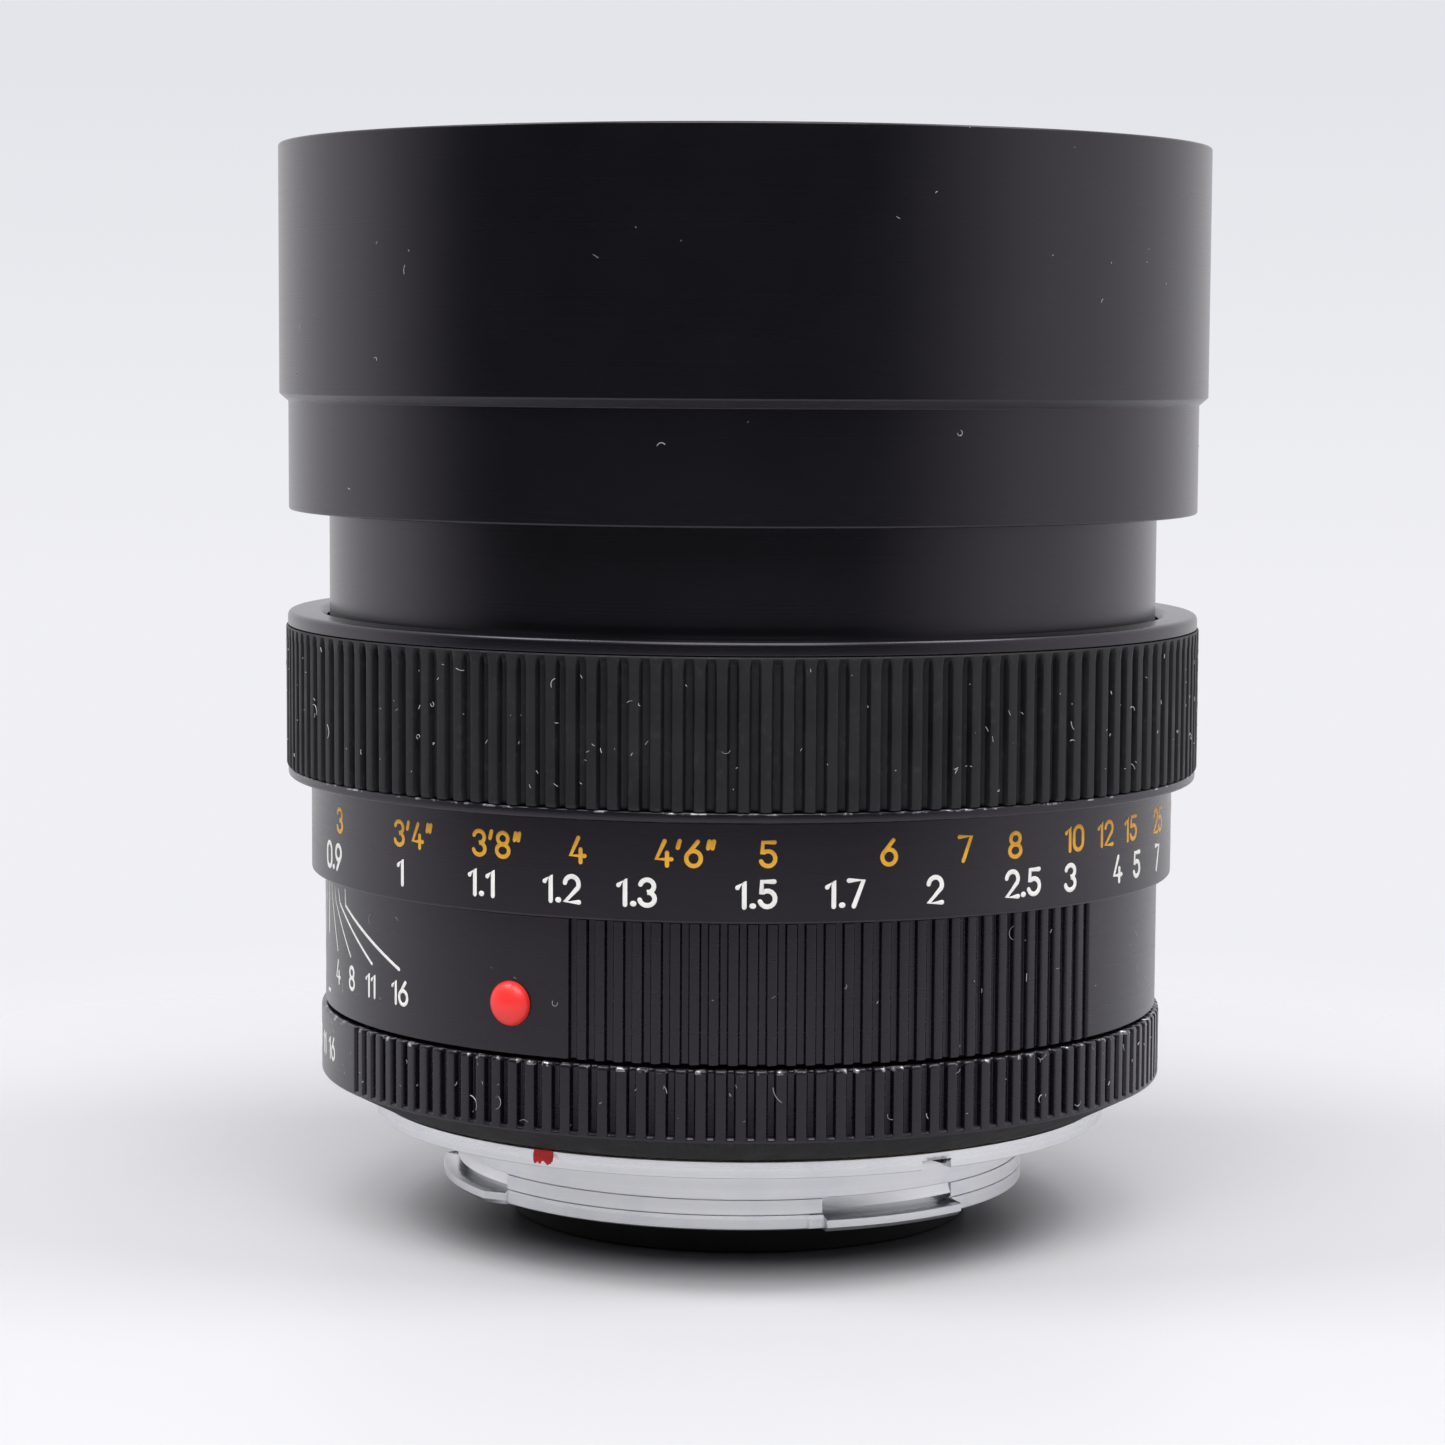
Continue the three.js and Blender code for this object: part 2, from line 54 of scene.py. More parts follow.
SHARP_ANGLE = 35  # degrees; a steeper edge stays crisp

# ---- Sizes shared with the CAD part ----

FLANGE_R, FLANGE_REAR, FLANGE_FRONT = 29.86, 8.26, 9.6
BAYONET_R, BAYONET_REAR, LUG_R, LUG_TOP, RECESS_R, RECESS_TOP = 23.2, 2.8, 24.35, 3.75, 22.4, 4.4
LUGS = ((15.9, 45.5), (136, 172), (-93, -52.5))
SCREW_BEARINGS, SCREW_CIRCLE, SCREW_HEAD_R = (15, 105, 195, 285), 27.6, 1.7
APERTURE_R, APERTURE_REAR, APERTURE_BEVEL, APERTURE_FRONT = 34.3, 9.8, 11.9, 17.35
BARREL_R, BARREL_REAR, BARREL_STEP, BARREL_FRONT = 33.96, 17.6, 28.25, 37.1
SCALE_R, SCALE_REAR, SCALE_FRONT = 35.05, 28.33, 35.85
GRIP_R, GRIP_SEAT_R, GRIP_REAR, GRIP_FRONT = 36.9, 35.9, 35.95, 49.25
RUBBER_R, RUBBER_REAR, RUBBER_FRONT = 37.04, 36.77, 48.09
TUBE_R = 33.53
BORE_R = 33.8  # bore of the focus and scale rings, and of the hood's rear lip
BEAD_R, BEAD_HEIGHT, BEAD_BEARING, BEAD_Z = 1.7, 1.0, -30.65, 21.44
INDEX_BEARING = -76.5  # where distance and stop are read

# The CAD part has a square lug end in place of LEAD_IN, and its notch runs right through.
RELIEF_FROM, LEAD_IN, LOCK_NOTCH = 13.0, (-56.5, -52.4), (27.4, 32.47)
NOTCH_R, NOTCH_TOP = 28.9, 9.02


# ---- Mesh helpers ----

def on_ring(radius, bearing, height):
    """A point in metres from a radius, a bearing and a height."""
    turn = math.radians(bearing)
    return Vector((radius * math.sin(turn), -radius * math.cos(turn), height)) * MM


def link(name, data):
    """Puts a mesh, a light or a camera into the scene."""
    item = bpy.data.objects.new(name, data)
    bpy.context.scene.collection.objects.link(item)
    return item


def faces_between(a, b, size, closed=True):
    """Faces between two rows of points, whose first points are numbers a and b."""
    count = size if closed else size - 1
    return [(a + j, b + j, b + (j + 1) % size, a + (j + 1) % size) for j in range(count)]


def new_piece(name, verts, faces, materials, sharp=SHARP_ANGLE):
    """A smooth-shaded mesh object with its normals outwards and its sharp edges marked."""
    mesh = bpy.data.meshes.new(name)
    mesh.from_pydata([tuple(v) for v in verts], [], faces)
    shape = bmesh.new()
    shape.from_mesh(mesh)
    bmesh.ops.remove_doubles(shape, verts=shape.verts, dist=1e-7)
    bmesh.ops.recalc_face_normals(shape, faces=shape.faces)
    shape.to_mesh(mesh)
    shape.free()
    piece = link(name, mesh)
    for material in materials:
        mesh.materials.append(material)
    mesh.shade_smooth()
    mesh.set_sharp_from_angle(angle=math.radians(sharp))
    piece.modifiers.new("Normals", "WEIGHTED_NORMAL").keep_sharp = True
    return piece


def soften(points, size=0.15, steps=3):
    """Rounds each corner of a closed outline. A point's third number is its own rounding."""
    rounded = []
    for i, here in enumerate(points):
        corner = np.array(here[:2], float)
        to_last = np.array(points[i - 1][:2], float) - corner
        to_next = np.array(points[(i + 1) % len(points)][:2], float) - corner
        own = here[2] if len(here) > 2 else size
        reach = min(own, 0.45 * np.linalg.norm(to_last), 0.45 * np.linalg.norm(to_next))
        if reach < 1e-3:
            rounded.append(corner)
            continue
        start = corner + to_last / np.linalg.norm(to_last) * reach
        end = corner + to_next / np.linalg.norm(to_next) * reach
        for t in np.linspace(0, 1, steps + 1):
            rounded.append((1 - t) ** 2 * start + 2 * t * (1 - t) * corner + t ** 2 * end)
    return np.array(rounded)


def ring(name, outline, materials, bearings=None, reshape=None, sharp=SHARP_ANGLE):
    """A closed outline of (radius, height) swept round the axis. reshape edits it on the way."""
    if bearings is None:
        bearings = np.arange(0, 360, PLAIN_STEP)
    count, size = len(bearings), len(outline)
    radius = np.tile(outline[:, 0], (count, 1))
    height = np.tile(outline[:, 1], (count, 1))
    if reshape:
        reshape(radius, height, np.asarray(bearings, float))
    turn = np.radians(bearings)[:, None]
    x, y = radius * np.sin(turn), -radius * np.cos(turn)
    verts = np.stack([x, y, height], axis=-1).reshape(-1, 3) * MM
    faces = []
    for i in range(count):
        faces += faces_between(i * size, (i + 1) % count * size, size)
    return new_piece(name, verts, faces, materials, sharp)


def glass_body(name, front, back, material, columns=96):
    """A lens from its front and back outlines, each from the axis to the edge."""
    outline = list(front) + list(back)[::-1]
    size = len(outline)
    verts = [on_ring(r, 360 * i / columns, z) for i in range(columns) for r, z in outline]
    faces = []
    for i in range(columns):
        faces += faces_between(i * size, (i + 1) % columns * size, size, closed=False)
    return new_piece(name, verts, faces, [material], sharp=30)


def pillar(name, radius, distance, bearing, z0, z1, material, edge=0.1, sides=40):
    """An upright round pin with softened ends."""
    rounded = soften([(0, z0, 0), (radius, z0, edge), (radius, z1, edge), (0, z1, 0)])
    rounded = rounded[(rounded[:, 0] > -1e-9)]
    size = len(rounded)
    verts, faces = [], []
    for i in range(sides):
        turn = 2 * math.pi * i / sides
        for r, z in rounded:
            verts.append(Vector((r * math.cos(turn), r * math.sin(turn), z)) * MM)
        faces += faces_between(i * size, (i + 1) % sides * size, size, closed=False)
    piece = new_piece(name, verts, faces, [material])
    piece.data.transform(Matrix.Translation(on_ring(distance, bearing, 0)))
    return piece


def sector_block(r_in, r_out, start, end, z0, z1, material=None, name="sector", edge=0.0):
    """A block between two radii and two bearings."""
    outline = soften([(r_in, z0, edge), (r_out, z0, edge), (r_out, z1, edge), (r_in, z1, edge)])
    columns = max(2, round((end - start) / 2)) + 1
    size = len(outline)
    verts = [on_ring(r, b, z) for b in np.linspace(start, end, columns) for r, z in outline]
    faces = [tuple(range(size)), tuple((columns - 1) * size + j for j in range(size))]
    for i in range(columns - 1):
        faces += faces_between(i * size, (i + 1) * size, size)
    return new_piece(name, verts, faces, [material or BLACK])


def carve(piece, *cutters):
    """Cuts the shapes of the cutters out of a piece and removes them."""
    for cutter in cutters:
        cut = piece.modifiers.new("Cut", "BOOLEAN")
        cut.operation, cut.solver, cut.object = "DIFFERENCE", "EXACT", cutter
    bpy.context.view_layer.update()
    evaluated = piece.evaluated_get(bpy.context.evaluated_depsgraph_get())
    mesh = bpy.data.meshes.new_from_object(evaluated)
    piece.modifiers.clear()
    old, piece.data = piece.data, mesh
    mesh.name = piece.name
    bpy.data.meshes.remove(old)
    for cutter in cutters:
        bpy.data.objects.remove(cutter)
    mesh.set_sharp_from_angle(angle=math.radians(SHARP_ANGLE))
    piece.modifiers.new("Normals", "WEIGHTED_NORMAL").keep_sharp = True
    return piece


def join(piece, other):
    """Adds another piece's mesh to this one. Both list the same materials first."""
    shape = bmesh.new()
    shape.from_mesh(piece.data)
    shape.from_mesh(other.data)
    shape.to_mesh(piece.data)
    shape.free()
    bpy.data.objects.remove(other)
    piece.data.set_sharp_from_angle(angle=math.radians(25))
    return piece


def paint_faces(piece, index, wanted):
    """Gives a material index to the faces whose centre's (radius, height, bearing) is wanted."""
    for face in piece.data.polygons:
        x, y, z = face.center / MM
        if wanted(math.hypot(x, y), z, math.degrees(math.atan2(x, -y))):
            face.material_index = index


def stands_for(piece, body, slot, *nodes):
    """The piece rides on a body and replaces CAD nodes, which are hidden. slot is not used."""
    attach(piece, body)
    if nodes:
        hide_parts(*nodes)
    return piece


# ---- Materials: a small node-graph helper ----

def add_node(tree, kind, inputs=(), **settings):
    """A shader node with its settings, and its inputs set or linked."""
    node = tree.nodes.new("ShaderNode" + kind)
    for label, value in settings.items():
        setattr(node, label, value)
    for label, value in dict(inputs).items():
        if isinstance(value, bpy.types.NodeSocket):
            tree.links.new(value, node.inputs[label])
        else:
            node.inputs[label].default_value = value
    return node


class Finish:
    """A node material with a Principled shader, built from the helpers below."""

    def __init__(self, name, **settings):
        self.material = bpy.data.materials.new(name)
        self.material.use_nodes = True
        self.nodes = self.material.node_tree.nodes
        self.links = self.material.node_tree.links
        self.shader = self.nodes["Principled BSDF"]
        for label, value in settings.items():
            self.shader.inputs[label.replace("_", " ")].default_value = value
        self.place = self.nodes.new("ShaderNodeTexCoord").outputs["Object"]

    def add(self, kind, inputs=(), **settings):
        return add_node(self.material.node_tree, kind, inputs, **settings)

    def math(self, operation, a, b=0.0):
        return self.add("Math", {0: a, 1: b}, operation=operation).outputs[0]

    def around(self):
        """Coordinates of radius and height alone, for marks that run round the axis."""
        split = self.add("SeparateXYZ", {0: self.place}).outputs
        x2 = self.math("MULTIPLY", split["X"], split["X"])
        y2 = self.math("MULTIPLY", split["Y"], split["Y"])
        radius = self.math("SQRT", self.math("ADD", x2, y2))
        return self.add("CombineXYZ", {"X": radius, "Z": split["Z"]}).outputs[0]

    def noise(self, scale, detail=3.0, vector=None, roughness=0.5):
        place = self.place if vector is None else vector
        inputs = {"Vector": place, "Scale": scale, "Detail": detail, "Roughness": roughness}
        return self.add("TexNoise", inputs).outputs["Fac"]

    def fit(self, value, low, high, to_low, to_high):
        inputs = {1: low, 2: high, 3: to_low, 4: to_high, "Value": value}
        return self.add("MapRange", inputs, clamp=True).outputs["Result"]

    def blend(self, factor, first, second):
        """A mix of two colours, each three numbers or a socket."""
        inputs = {0: factor}
        for socket, value in ((6, first), (7, second)):
            inputs[socket] = value if isinstance(value, bpy.types.NodeSocket) else (*value, 1)
        return self.add("Mix", inputs, data_type="RGBA").outputs[2]

    def specks(self, spacing, size, share):
        """1 inside small grains of dust, which sit at some points of a scattered grid."""
        inputs = {"Vector": self.place, "Scale": 1000 / spacing}
        scatter = self.add("TexVoronoi", inputs, feature="F1")
        near = self.math("LESS_THAN", scatter.outputs["Distance"], size / spacing)
        pick = self.add("SeparateColor", {0: scatter.outputs["Color"]}).outputs[0]
        chosen = self.math("LESS_THAN", pick, share)
        return self.math("MULTIPLY", near, chosen)

    def bump(self, height, depth, strength=1.0, normal=None):
        """Adds relief of a depth in millimetres and returns the normal."""
        inputs = {"Height": height, "Distance": depth * MM, "Strength": strength}
        if normal is not None:
            inputs["Normal"] = normal
        return self.add("Bump", inputs).outputs["Normal"]

    def colour(self, value):
        self.links.new(value, self.shader.inputs["Base Color"])

    def roughness(self, value):
        self.links.new(value, self.shader.inputs["Roughness"])

    def normal(self, value):
        self.links.new(value, self.shader.inputs["Normal"])


def anodised(name, dark, light, rough, line=6500, dust=0.05, wear=0.0):
    """Black anodised aluminium: fine turned lines, a little mottling, dust, and bare worn edges."""
    finish = Finish(name, Specular_Tint=(0.95, 0.87, 1.0, 1))
    lines = finish.noise(line, 2.0, finish.around())
    mottle = finish.noise(160, 4.0)
    base = finish.blend(finish.fit(mottle, 0.35, 0.65, 0, 1), dark, light)
    grey = finish.noise(900, 2.0)
    specks = finish.specks(1.6, 0.045, dust)
    base = finish.blend(finish.math("MULTIPLY", specks, grey), base, (0.45, 0.44, 0.42))
    if wear:
        scuffs = finish.noise(700, 5.0, roughness=0.7)
        bare = finish.fit(scuffs, 0.62 - wear, 0.66 - wear * 0.8, 0, 1)
        base = finish.blend(bare, base, (0.42, 0.42, 0.44))
        finish.links.new(finish.math("MULTIPLY", bare, 0.8), finish.shader.inputs["Metallic"])
    finish.colour(base)
    finish.roughness(finish.fit(lines, 0.3, 0.7, rough - 0.006, rough + 0.006))
    finish.normal(finish.bump(finish.noise(3000, 1.0), 0.0004, 0.1))
    return finish.material


def matte_black_metal(name, ridges=0.0):
    """Inner barrels: flat black, with fine light-trap ridges where a pitch in mm is given."""
    finish = Finish(name, Specular_IOR_Level=0.25)
    mottle = finish.noise(500, 4.0)
    dark, light = (0.006, 0.006, 0.007), (0.014, 0.014, 0.015)
    base = finish.blend(finish.fit(mottle, 0.3, 0.7, 0, 1), dark, light)
    finish.colour(finish.blend(finish.specks(2.4, 0.05, 0.1), base, (0.3, 0.3, 0.3)))
    finish.roughness(finish.fit(mottle, 0.3, 0.7, 0.62, 0.82))
    normal = finish.bump(finish.noise(9000, 2.0), 0.006, 0.5)
    if ridges:
        height = finish.add("SeparateXYZ", {0: finish.place}).outputs["Z"]
        phase = finish.math("MULTIPLY", height, 2 * math.pi / (ridges * MM))
        normal = finish.bump(finish.math("SINE", phase), 0.12, 0.8, normal)
    finish.normal(normal)
    return finish.material


def rubber_finish():
    finish = Finish("rubber", Specular_IOR_Level=0.4)
    mottle = finish.noise(220, 5.0)
    bloom = finish.noise(1500, 3.0)
    dark, light = (0.0035, 0.0036, 0.0052), (0.0085, 0.0086, 0.011)
    base = finish.blend(finish.fit(mottle, 0.35, 0.7, 0, 1), dark, light)
    base = finish.blend(finish.fit(bloom, 0.58, 0.8, 0, 0.3), base, (0.05, 0.05, 0.055))
    base = finish.blend(finish.specks(1.1, 0.05, 0.10), base, (0.36, 0.35, 0.33))
    finish.colour(base)
    finish.roughness(finish.fit(mottle, 0.3, 0.7, 0.5, 0.68))
    finish.normal(finish.bump(finish.noise(6000, 3.0), 0.01, 0.5))
    return finish.material


def turned_silver(name, tint, rough, line=5200):
    """Bare machined metal with turned lines, faint stains and small scratches."""
    finish = Finish(name, Metallic=1.0)
    lines = finish.noise(line, 3.0, finish.around(), 0.7)
    broad = finish.noise(900, 2.0, finish.around())
    stain = finish.noise(260, 5.0)
    dull = [c * 0.95 for c in tint]
    stained = [c * s for c, s in zip(tint, (0.78, 0.82, 0.9))]
    base = finish.blend(finish.fit(lines, 0.3, 0.7, 0, 1), dull, tint)
    base = finish.blend(finish.fit(stain, 0.5, 0.7, 0, 0.3), base, stained)
    finish.colour(base)
    finish.roughness(finish.fit(broad, 0.3, 0.7, rough - 0.06, rough + 0.08))
    scratches = finish.noise(3000, 4.0)
    normal = finish.bump(scratches, 0.001, 0.15)
    finish.normal(finish.bump(lines, 0.001, 0.06, normal))
    return finish.material


def enamel(name, colour, shade, rough, coat=0.0):
    """Paint with faint brush marks and a slight change of tone."""
    finish = Finish(name, Coat_Weight=coat, Coat_Roughness=0.14)
    tone = finish.noise(900, 3.0)
    base = finish.blend(finish.fit(tone, 0.35, 0.7, 0, 1), colour, shade)
    finish.colour(base)
    finish.roughness(finish.fit(tone, 0.3, 0.7, rough, rough + 0.1))
    finish.normal(finish.bump(finish.noise(2200, 2.0), 0.006, 0.4))
    return finish.material


def felt_finish():
    finish = Finish("felt", Sheen_Weight=0.6, Sheen_Roughness=0.5)
    fibres = finish.noise(7000, 4.0)
    finish.colour(finish.blend(fibres, (0.006, 0.006, 0.006), (0.03, 0.03, 0.03)))
    finish.roughness(finish.fit(fibres, 0.3, 0.7, 0.85, 1.0))
    finish.normal(finish.bump(fibres, 0.08, 0.9))
    return finish.material


def coated_glass(name, film, ior):
    """Polished glass with a little dust. film is its coating's thickness in nanometres."""
    finish = Finish(
        name, Transmission_Weight=1.0, IOR=ior, Thin_Film_Thickness=film, Thin_Film_IOR=1.38,
        Base_Color=(0.97, 0.985, 1.0, 1),
    )
    haze = finish.noise(120, 4.0)
    dust = finish.specks(2.6, 0.05, 0.08)
    smear = finish.fit(haze, 0.6, 0.8, 0.0, 0.03)
    finish.roughness(finish.math("ADD", smear, finish.math("MULTIPLY", dust, 0.5)))
    return finish.material


BLACK = anodised("black_metal", (0.0030, 0.0031, 0.0042), (0.0042, 0.0042, 0.0056), 0.27)
BLACK_WORN = anodised(
    "black_metal_worn_edge", (0.004, 0.004, 0.0055), (0.008, 0.008, 0.01), 0.3, wear=0.07,
)
MATTE = matte_black_metal("matte_black")
RIDGED = matte_black_metal("matte_black_ridged", ridges=0.55)
RUBBER = rubber_finish()
SILVER = turned_silver("bayonet_metal", (0.74, 0.745, 0.765), 0.3)
STEEL = turned_silver("steel", (0.52, 0.53, 0.55), 0.3, 3000)
BRASS = turned_silver("brass", (0.68, 0.52, 0.26), 0.32, 3500)
BLADE = turned_silver("blade_steel", (0.075, 0.075, 0.08), 0.42, 1500)
RED = enamel("red_enamel", (0.95, 0.03, 0.026), (0.9, 0.026, 0.024), 0.38, 0.2)
RED_DRY = enamel("red_paint_dry", (0.75, 0.018, 0.02), (0.5, 0.012, 0.014), 0.6)
WHITE = enamel("white_paint", (0.93, 0.93, 0.90), (0.84, 0.84, 0.80), 0.4)
AMBER = enamel("amber_paint", (0.95, 0.50, 0.03), (0.84, 0.38, 0.02), 0.4)
FELT = felt_finish()
GLASS_FRONT = coated_glass("glass_violet", 118, 1.68)
GLASS_INNER = coated_glass("glass_amber", 98, 1.62)
LINT = enamel("lint", (0.62, 0.61, 0.58), (0.32, 0.32, 0.32), 0.8)

SLOT_MATERIALS = {
    "black_metal": BLACK, "matte_black": MATTE, "blade_steel": BLADE, "rubber": RUBBER,
    "bayonet_metal": SILVER, "brass": BRASS, "steel": STEEL, "glass": GLASS_INNER,
    "red_enamel": RED, "felt": FELT, "white_paint": WHITE, "amber_paint": AMBER,
}


def dress_cad_nodes():
    """Every carried-over CAD node gets the finish of its slot in the record."""
    for part in frame["record"]["subparts"]:
        for slot in frame["nodes"][part["node"]].material_slots:
            slot.material = SLOT_MATERIALS[part["material_slot"]]


# ---- Grooves ----

class Grooves:
    """Equal upright grooves round a ring. profile is (offset, depth) across one of them."""

    def __init__(self, first, count, pitch, profile):
        self.first, self.count, self.pitch = first, count, pitch
        self.offsets, self.depths = zip(*profile)

    def bearings(self):
        """Columns that follow every groove, and plain steps over the rest of the ring."""
        centres = self.first + (np.arange(self.count) + 0.5) * self.pitch
        marks = (centres[:, None] + np.array(self.offsets)[None, :]).ravel()
        last = self.first + self.count * self.pitch
        rest = self.first + 360 - last
        if rest > 0.01:
            steps = max(2, round(rest / PLAIN_STEP))
            marks = np.concatenate([marks, np.linspace(last, last + rest, steps + 1)])
        return np.unique(np.round(marks, 5))

    def depth(self, bearings):
        """From 0 on a ridge to 1 at the bottom of a groove."""
        place = bearings - self.first
        index = np.floor(place / self.pitch)
        offset = place - (index + 0.5) * self.pitch
        inside = (index >= 0) & (index < self.count)
        return np.where(inside, np.interp(offset, self.offsets, self.depths), 0.0)


def square_groove(half, wall=0.12):
    """A flat-bottomed groove with near-upright walls and slightly worn top edges."""
    edge = [(-half - 0.22, 0.0), (-half, 0.07), (-half + wall, 0.93), (-half + wall + 0.12, 1.0)]
    return edge + [(-x, y) for x, y in edge[::-1]]


# ---- Pieces seen from outside ----

def make_hood():
    """The sliding hood with light-trap ridges inside, and the felt it slides on."""
    rear, front, slim_r, wide_r = 57.36, 86.43, 36.78, 37.5
    outline = soften([
        (BORE_R, rear, 0.1), (slim_r, rear, 0.2), (slim_r, 66.0, 0.04), (wide_r, 66.63, 0.1),
        (wide_r, front, 0.2), (35.3, front, 0.25), (34.8, 85.23), (34.8, 58.4), (BORE_R, 58.4),
    ])
    piece = ring("hood", outline, [BLACK, RIDGED, BLACK_WORN])
    paint_faces(piece, 1, lambda r, z, b: r < 35.2 and z > 57.6)
    stands_for(piece, "hood", "black_metal", "hood_shell")
    band = soften([(33.65, 58.45), (34.55, 58.45), (34.55, 62), (33.65, 62)], 0.3)
    stands_for(ring("hood_felt", band, [FELT]), "hood", "felt", "hood_felt_ring")


def make_front_barrel():
    """The slim tube that carries the hood, with a rim in front."""
    outline = soften([
        (28.2, 48), (TUBE_R, 48), (TUBE_R, 80.5, 0.05), (34.4, 80.5), (34.4, 83), (32.3, 83),
        (32.3, 49.5), (28.2, 49.5),
    ])
    piece = ring("front_tube", outline, [BLACK, MATTE])
    paint_faces(piece, 1, lambda r, z, b: r < 33)
    stands_for(piece, "optics", "black_metal", "front_barrel")


def make_focus_ring():
    """The metal ring, with a seat for the rubber and a worn line behind it."""
    lip = 0.05  # gap between the rubber's ends and the seat's walls
    outline = soften([
        (BORE_R, GRIP_REAR), (GRIP_R, GRIP_REAR, 0.3), (GRIP_R, RUBBER_REAR - lip, 0.16),
        (GRIP_SEAT_R, RUBBER_REAR - lip, 0), (GRIP_SEAT_R, RUBBER_FRONT + lip, 0),
        (GRIP_R, RUBBER_FRONT + lip, 0.08), (GRIP_R, GRIP_FRONT, 0.5), (34.3, GRIP_FRONT, 0.3),
        (BORE_R, GRIP_FRONT - 0.5, 0.05),
    ], steps=5)
    piece = ring("focus_ring_metal", outline, [BLACK, BLACK_WORN])
    paint_faces(piece, 1, lambda r, z, b: r > 36.7 and RUBBER_REAR - 0.25 < z < RUBBER_REAR)
    stands_for(piece, "focus", "black_metal", "focus_ring")


def make_rubber():
    """The ribbed sleeve. Its grooves are arched at the front and open at the rear."""
    pitch, half, depth = 2.5, 0.56, 0.62
    profile = [
        (-pitch / 2, 0.03), (-0.95, 0.0), (-half - 0.12, 0.06), (-half, 0.3), (-half + 0.14, 0.9),
        (-0.2, 1.0),
    ]
    grooves = Grooves(0, 144, pitch, profile + [(-x, y) for x, y in profile[:0:-1]])
    arch = 0.75  # height of the rounded end of each groove
    ends = np.array([0.02, 0.12, 0.3, 0.5, 0.75, 1.1])
    heights = np.concatenate([RUBBER_REAR + ends, [40, 42.4, 44.8], RUBBER_FRONT - ends[::-1]])
    outside = [(RUBBER_R, z) for z in heights]
    inside = [(GRIP_SEAT_R + 0.05, RUBBER_FRONT), (GRIP_SEAT_R + 0.05, RUBBER_REAR)]
    outline = np.array(outside + inside)

    def rib(radius, height, bearings):
        deep = grooves.depth(bearings)
        for j, z in enumerate(heights):
            near = min((RUBBER_FRONT - 0.25 - z) / arch, 1)
            share = math.sqrt(max(0.0, 1 - (1 - near) ** 2)) if near > 0 else 0.0
            low = min(max((z - RUBBER_REAR) / 0.15, 0.0), 1.0)
            radius[:, j] -= depth * np.clip(deep - (1 - share), 0, 1) / max(share, 0.05) * share
            radius[:, j] -= 0.1 * (1 - low) + 0.06 * (j == len(heights) - 1)

    piece = ring("rubber_sleeve", outline, [RUBBER], grooves.bearings(), rib, sharp=50)
    stands_for(piece, "focus", "rubber", "rubber_grip")


def make_scale_ring():
    outline = soften([
        (BORE_R, SCALE_REAR), (SCALE_R, SCALE_REAR, 0.2), (SCALE_R, SCALE_FRONT),
        (BORE_R, SCALE_FRONT),
    ])
    piece = ring("scale_ring", outline, [BLACK])
    stands_for(piece, "focus", "black_metal", "distance_scale_ring")


def make_fixed_barrel():
    """The fixed ring, fluted on one side, with a window for the drive bar."""
    grooves = Grooves(-23.0, 31, 2.43, square_groove(0.56, 0.08))
    depth = 0.4
    outline = soften([
        (26.5, BARREL_REAR), (BARREL_R, BARREL_REAR, 0.12), (BARREL_R, BARREL_STEP, 0.12),
        (33.55, BARREL_STEP, 0.05), (33.55, BARREL_FRONT), (32.2, BARREL_FRONT), (32.2, 19.2),
        (26.5, 19.2),
    ])

    def flute(radius, height, bearings):
        low = grooves.depth(bearings)[:, None]
        outer = (outline[:, 0] > 33.6) & (outline[:, 1] < BARREL_STEP + 0.01)
        radius -= low * depth * outer[None, :]

    piece = ring("fixed_grip_ring", outline, [BLACK, MATTE], grooves.bearings(), flute)
    paint_faces(piece, 1, lambda r, z, b: r < 32.5)
    window = sector_block(27.6, 29.5, 229, 279, BARREL_REAR - 1, 20.2)
    carve(piece, window)
    stands_for(piece, "barrel", "black_metal", "fixed_barrel")


def make_bead():
    """A glossy dome on a short stem that stands out of the fixed ring."""
    foot, collar, steps = 33.2, 0.05, 12
    outline = [(0, foot), (BEAD_R, foot), (BEAD_R, BARREL_R + collar)]
    for step in range(1, steps + 1):
        turn = step / steps * math.pi / 2
        out = BARREL_R + collar + (BEAD_HEIGHT - collar) * math.sin(turn)
        outline.append((BEAD_R * math.cos(turn), out))
    sides, size = 48, len(outline)
    verts, faces = [], []
    for i in range(sides):
        turn = 2 * math.pi * i / sides
        verts += [Vector((r * math.cos(turn), -out, r * math.sin(turn))) * MM for r, out in outline]
        faces += faces_between(i * size, (i + 1) % sides * size, size, closed=False)
    piece = new_piece("red_bead", verts, faces, [RED], sharp=60)
    turn = Matrix.Rotation(math.radians(BEAD_BEARING), 4, "Z")
    piece.data.transform(Matrix.Translation((0, 0, BEAD_Z * MM)) @ turn)
    stands_for(piece, "barrel", "red_enamel", "alignment_bead")


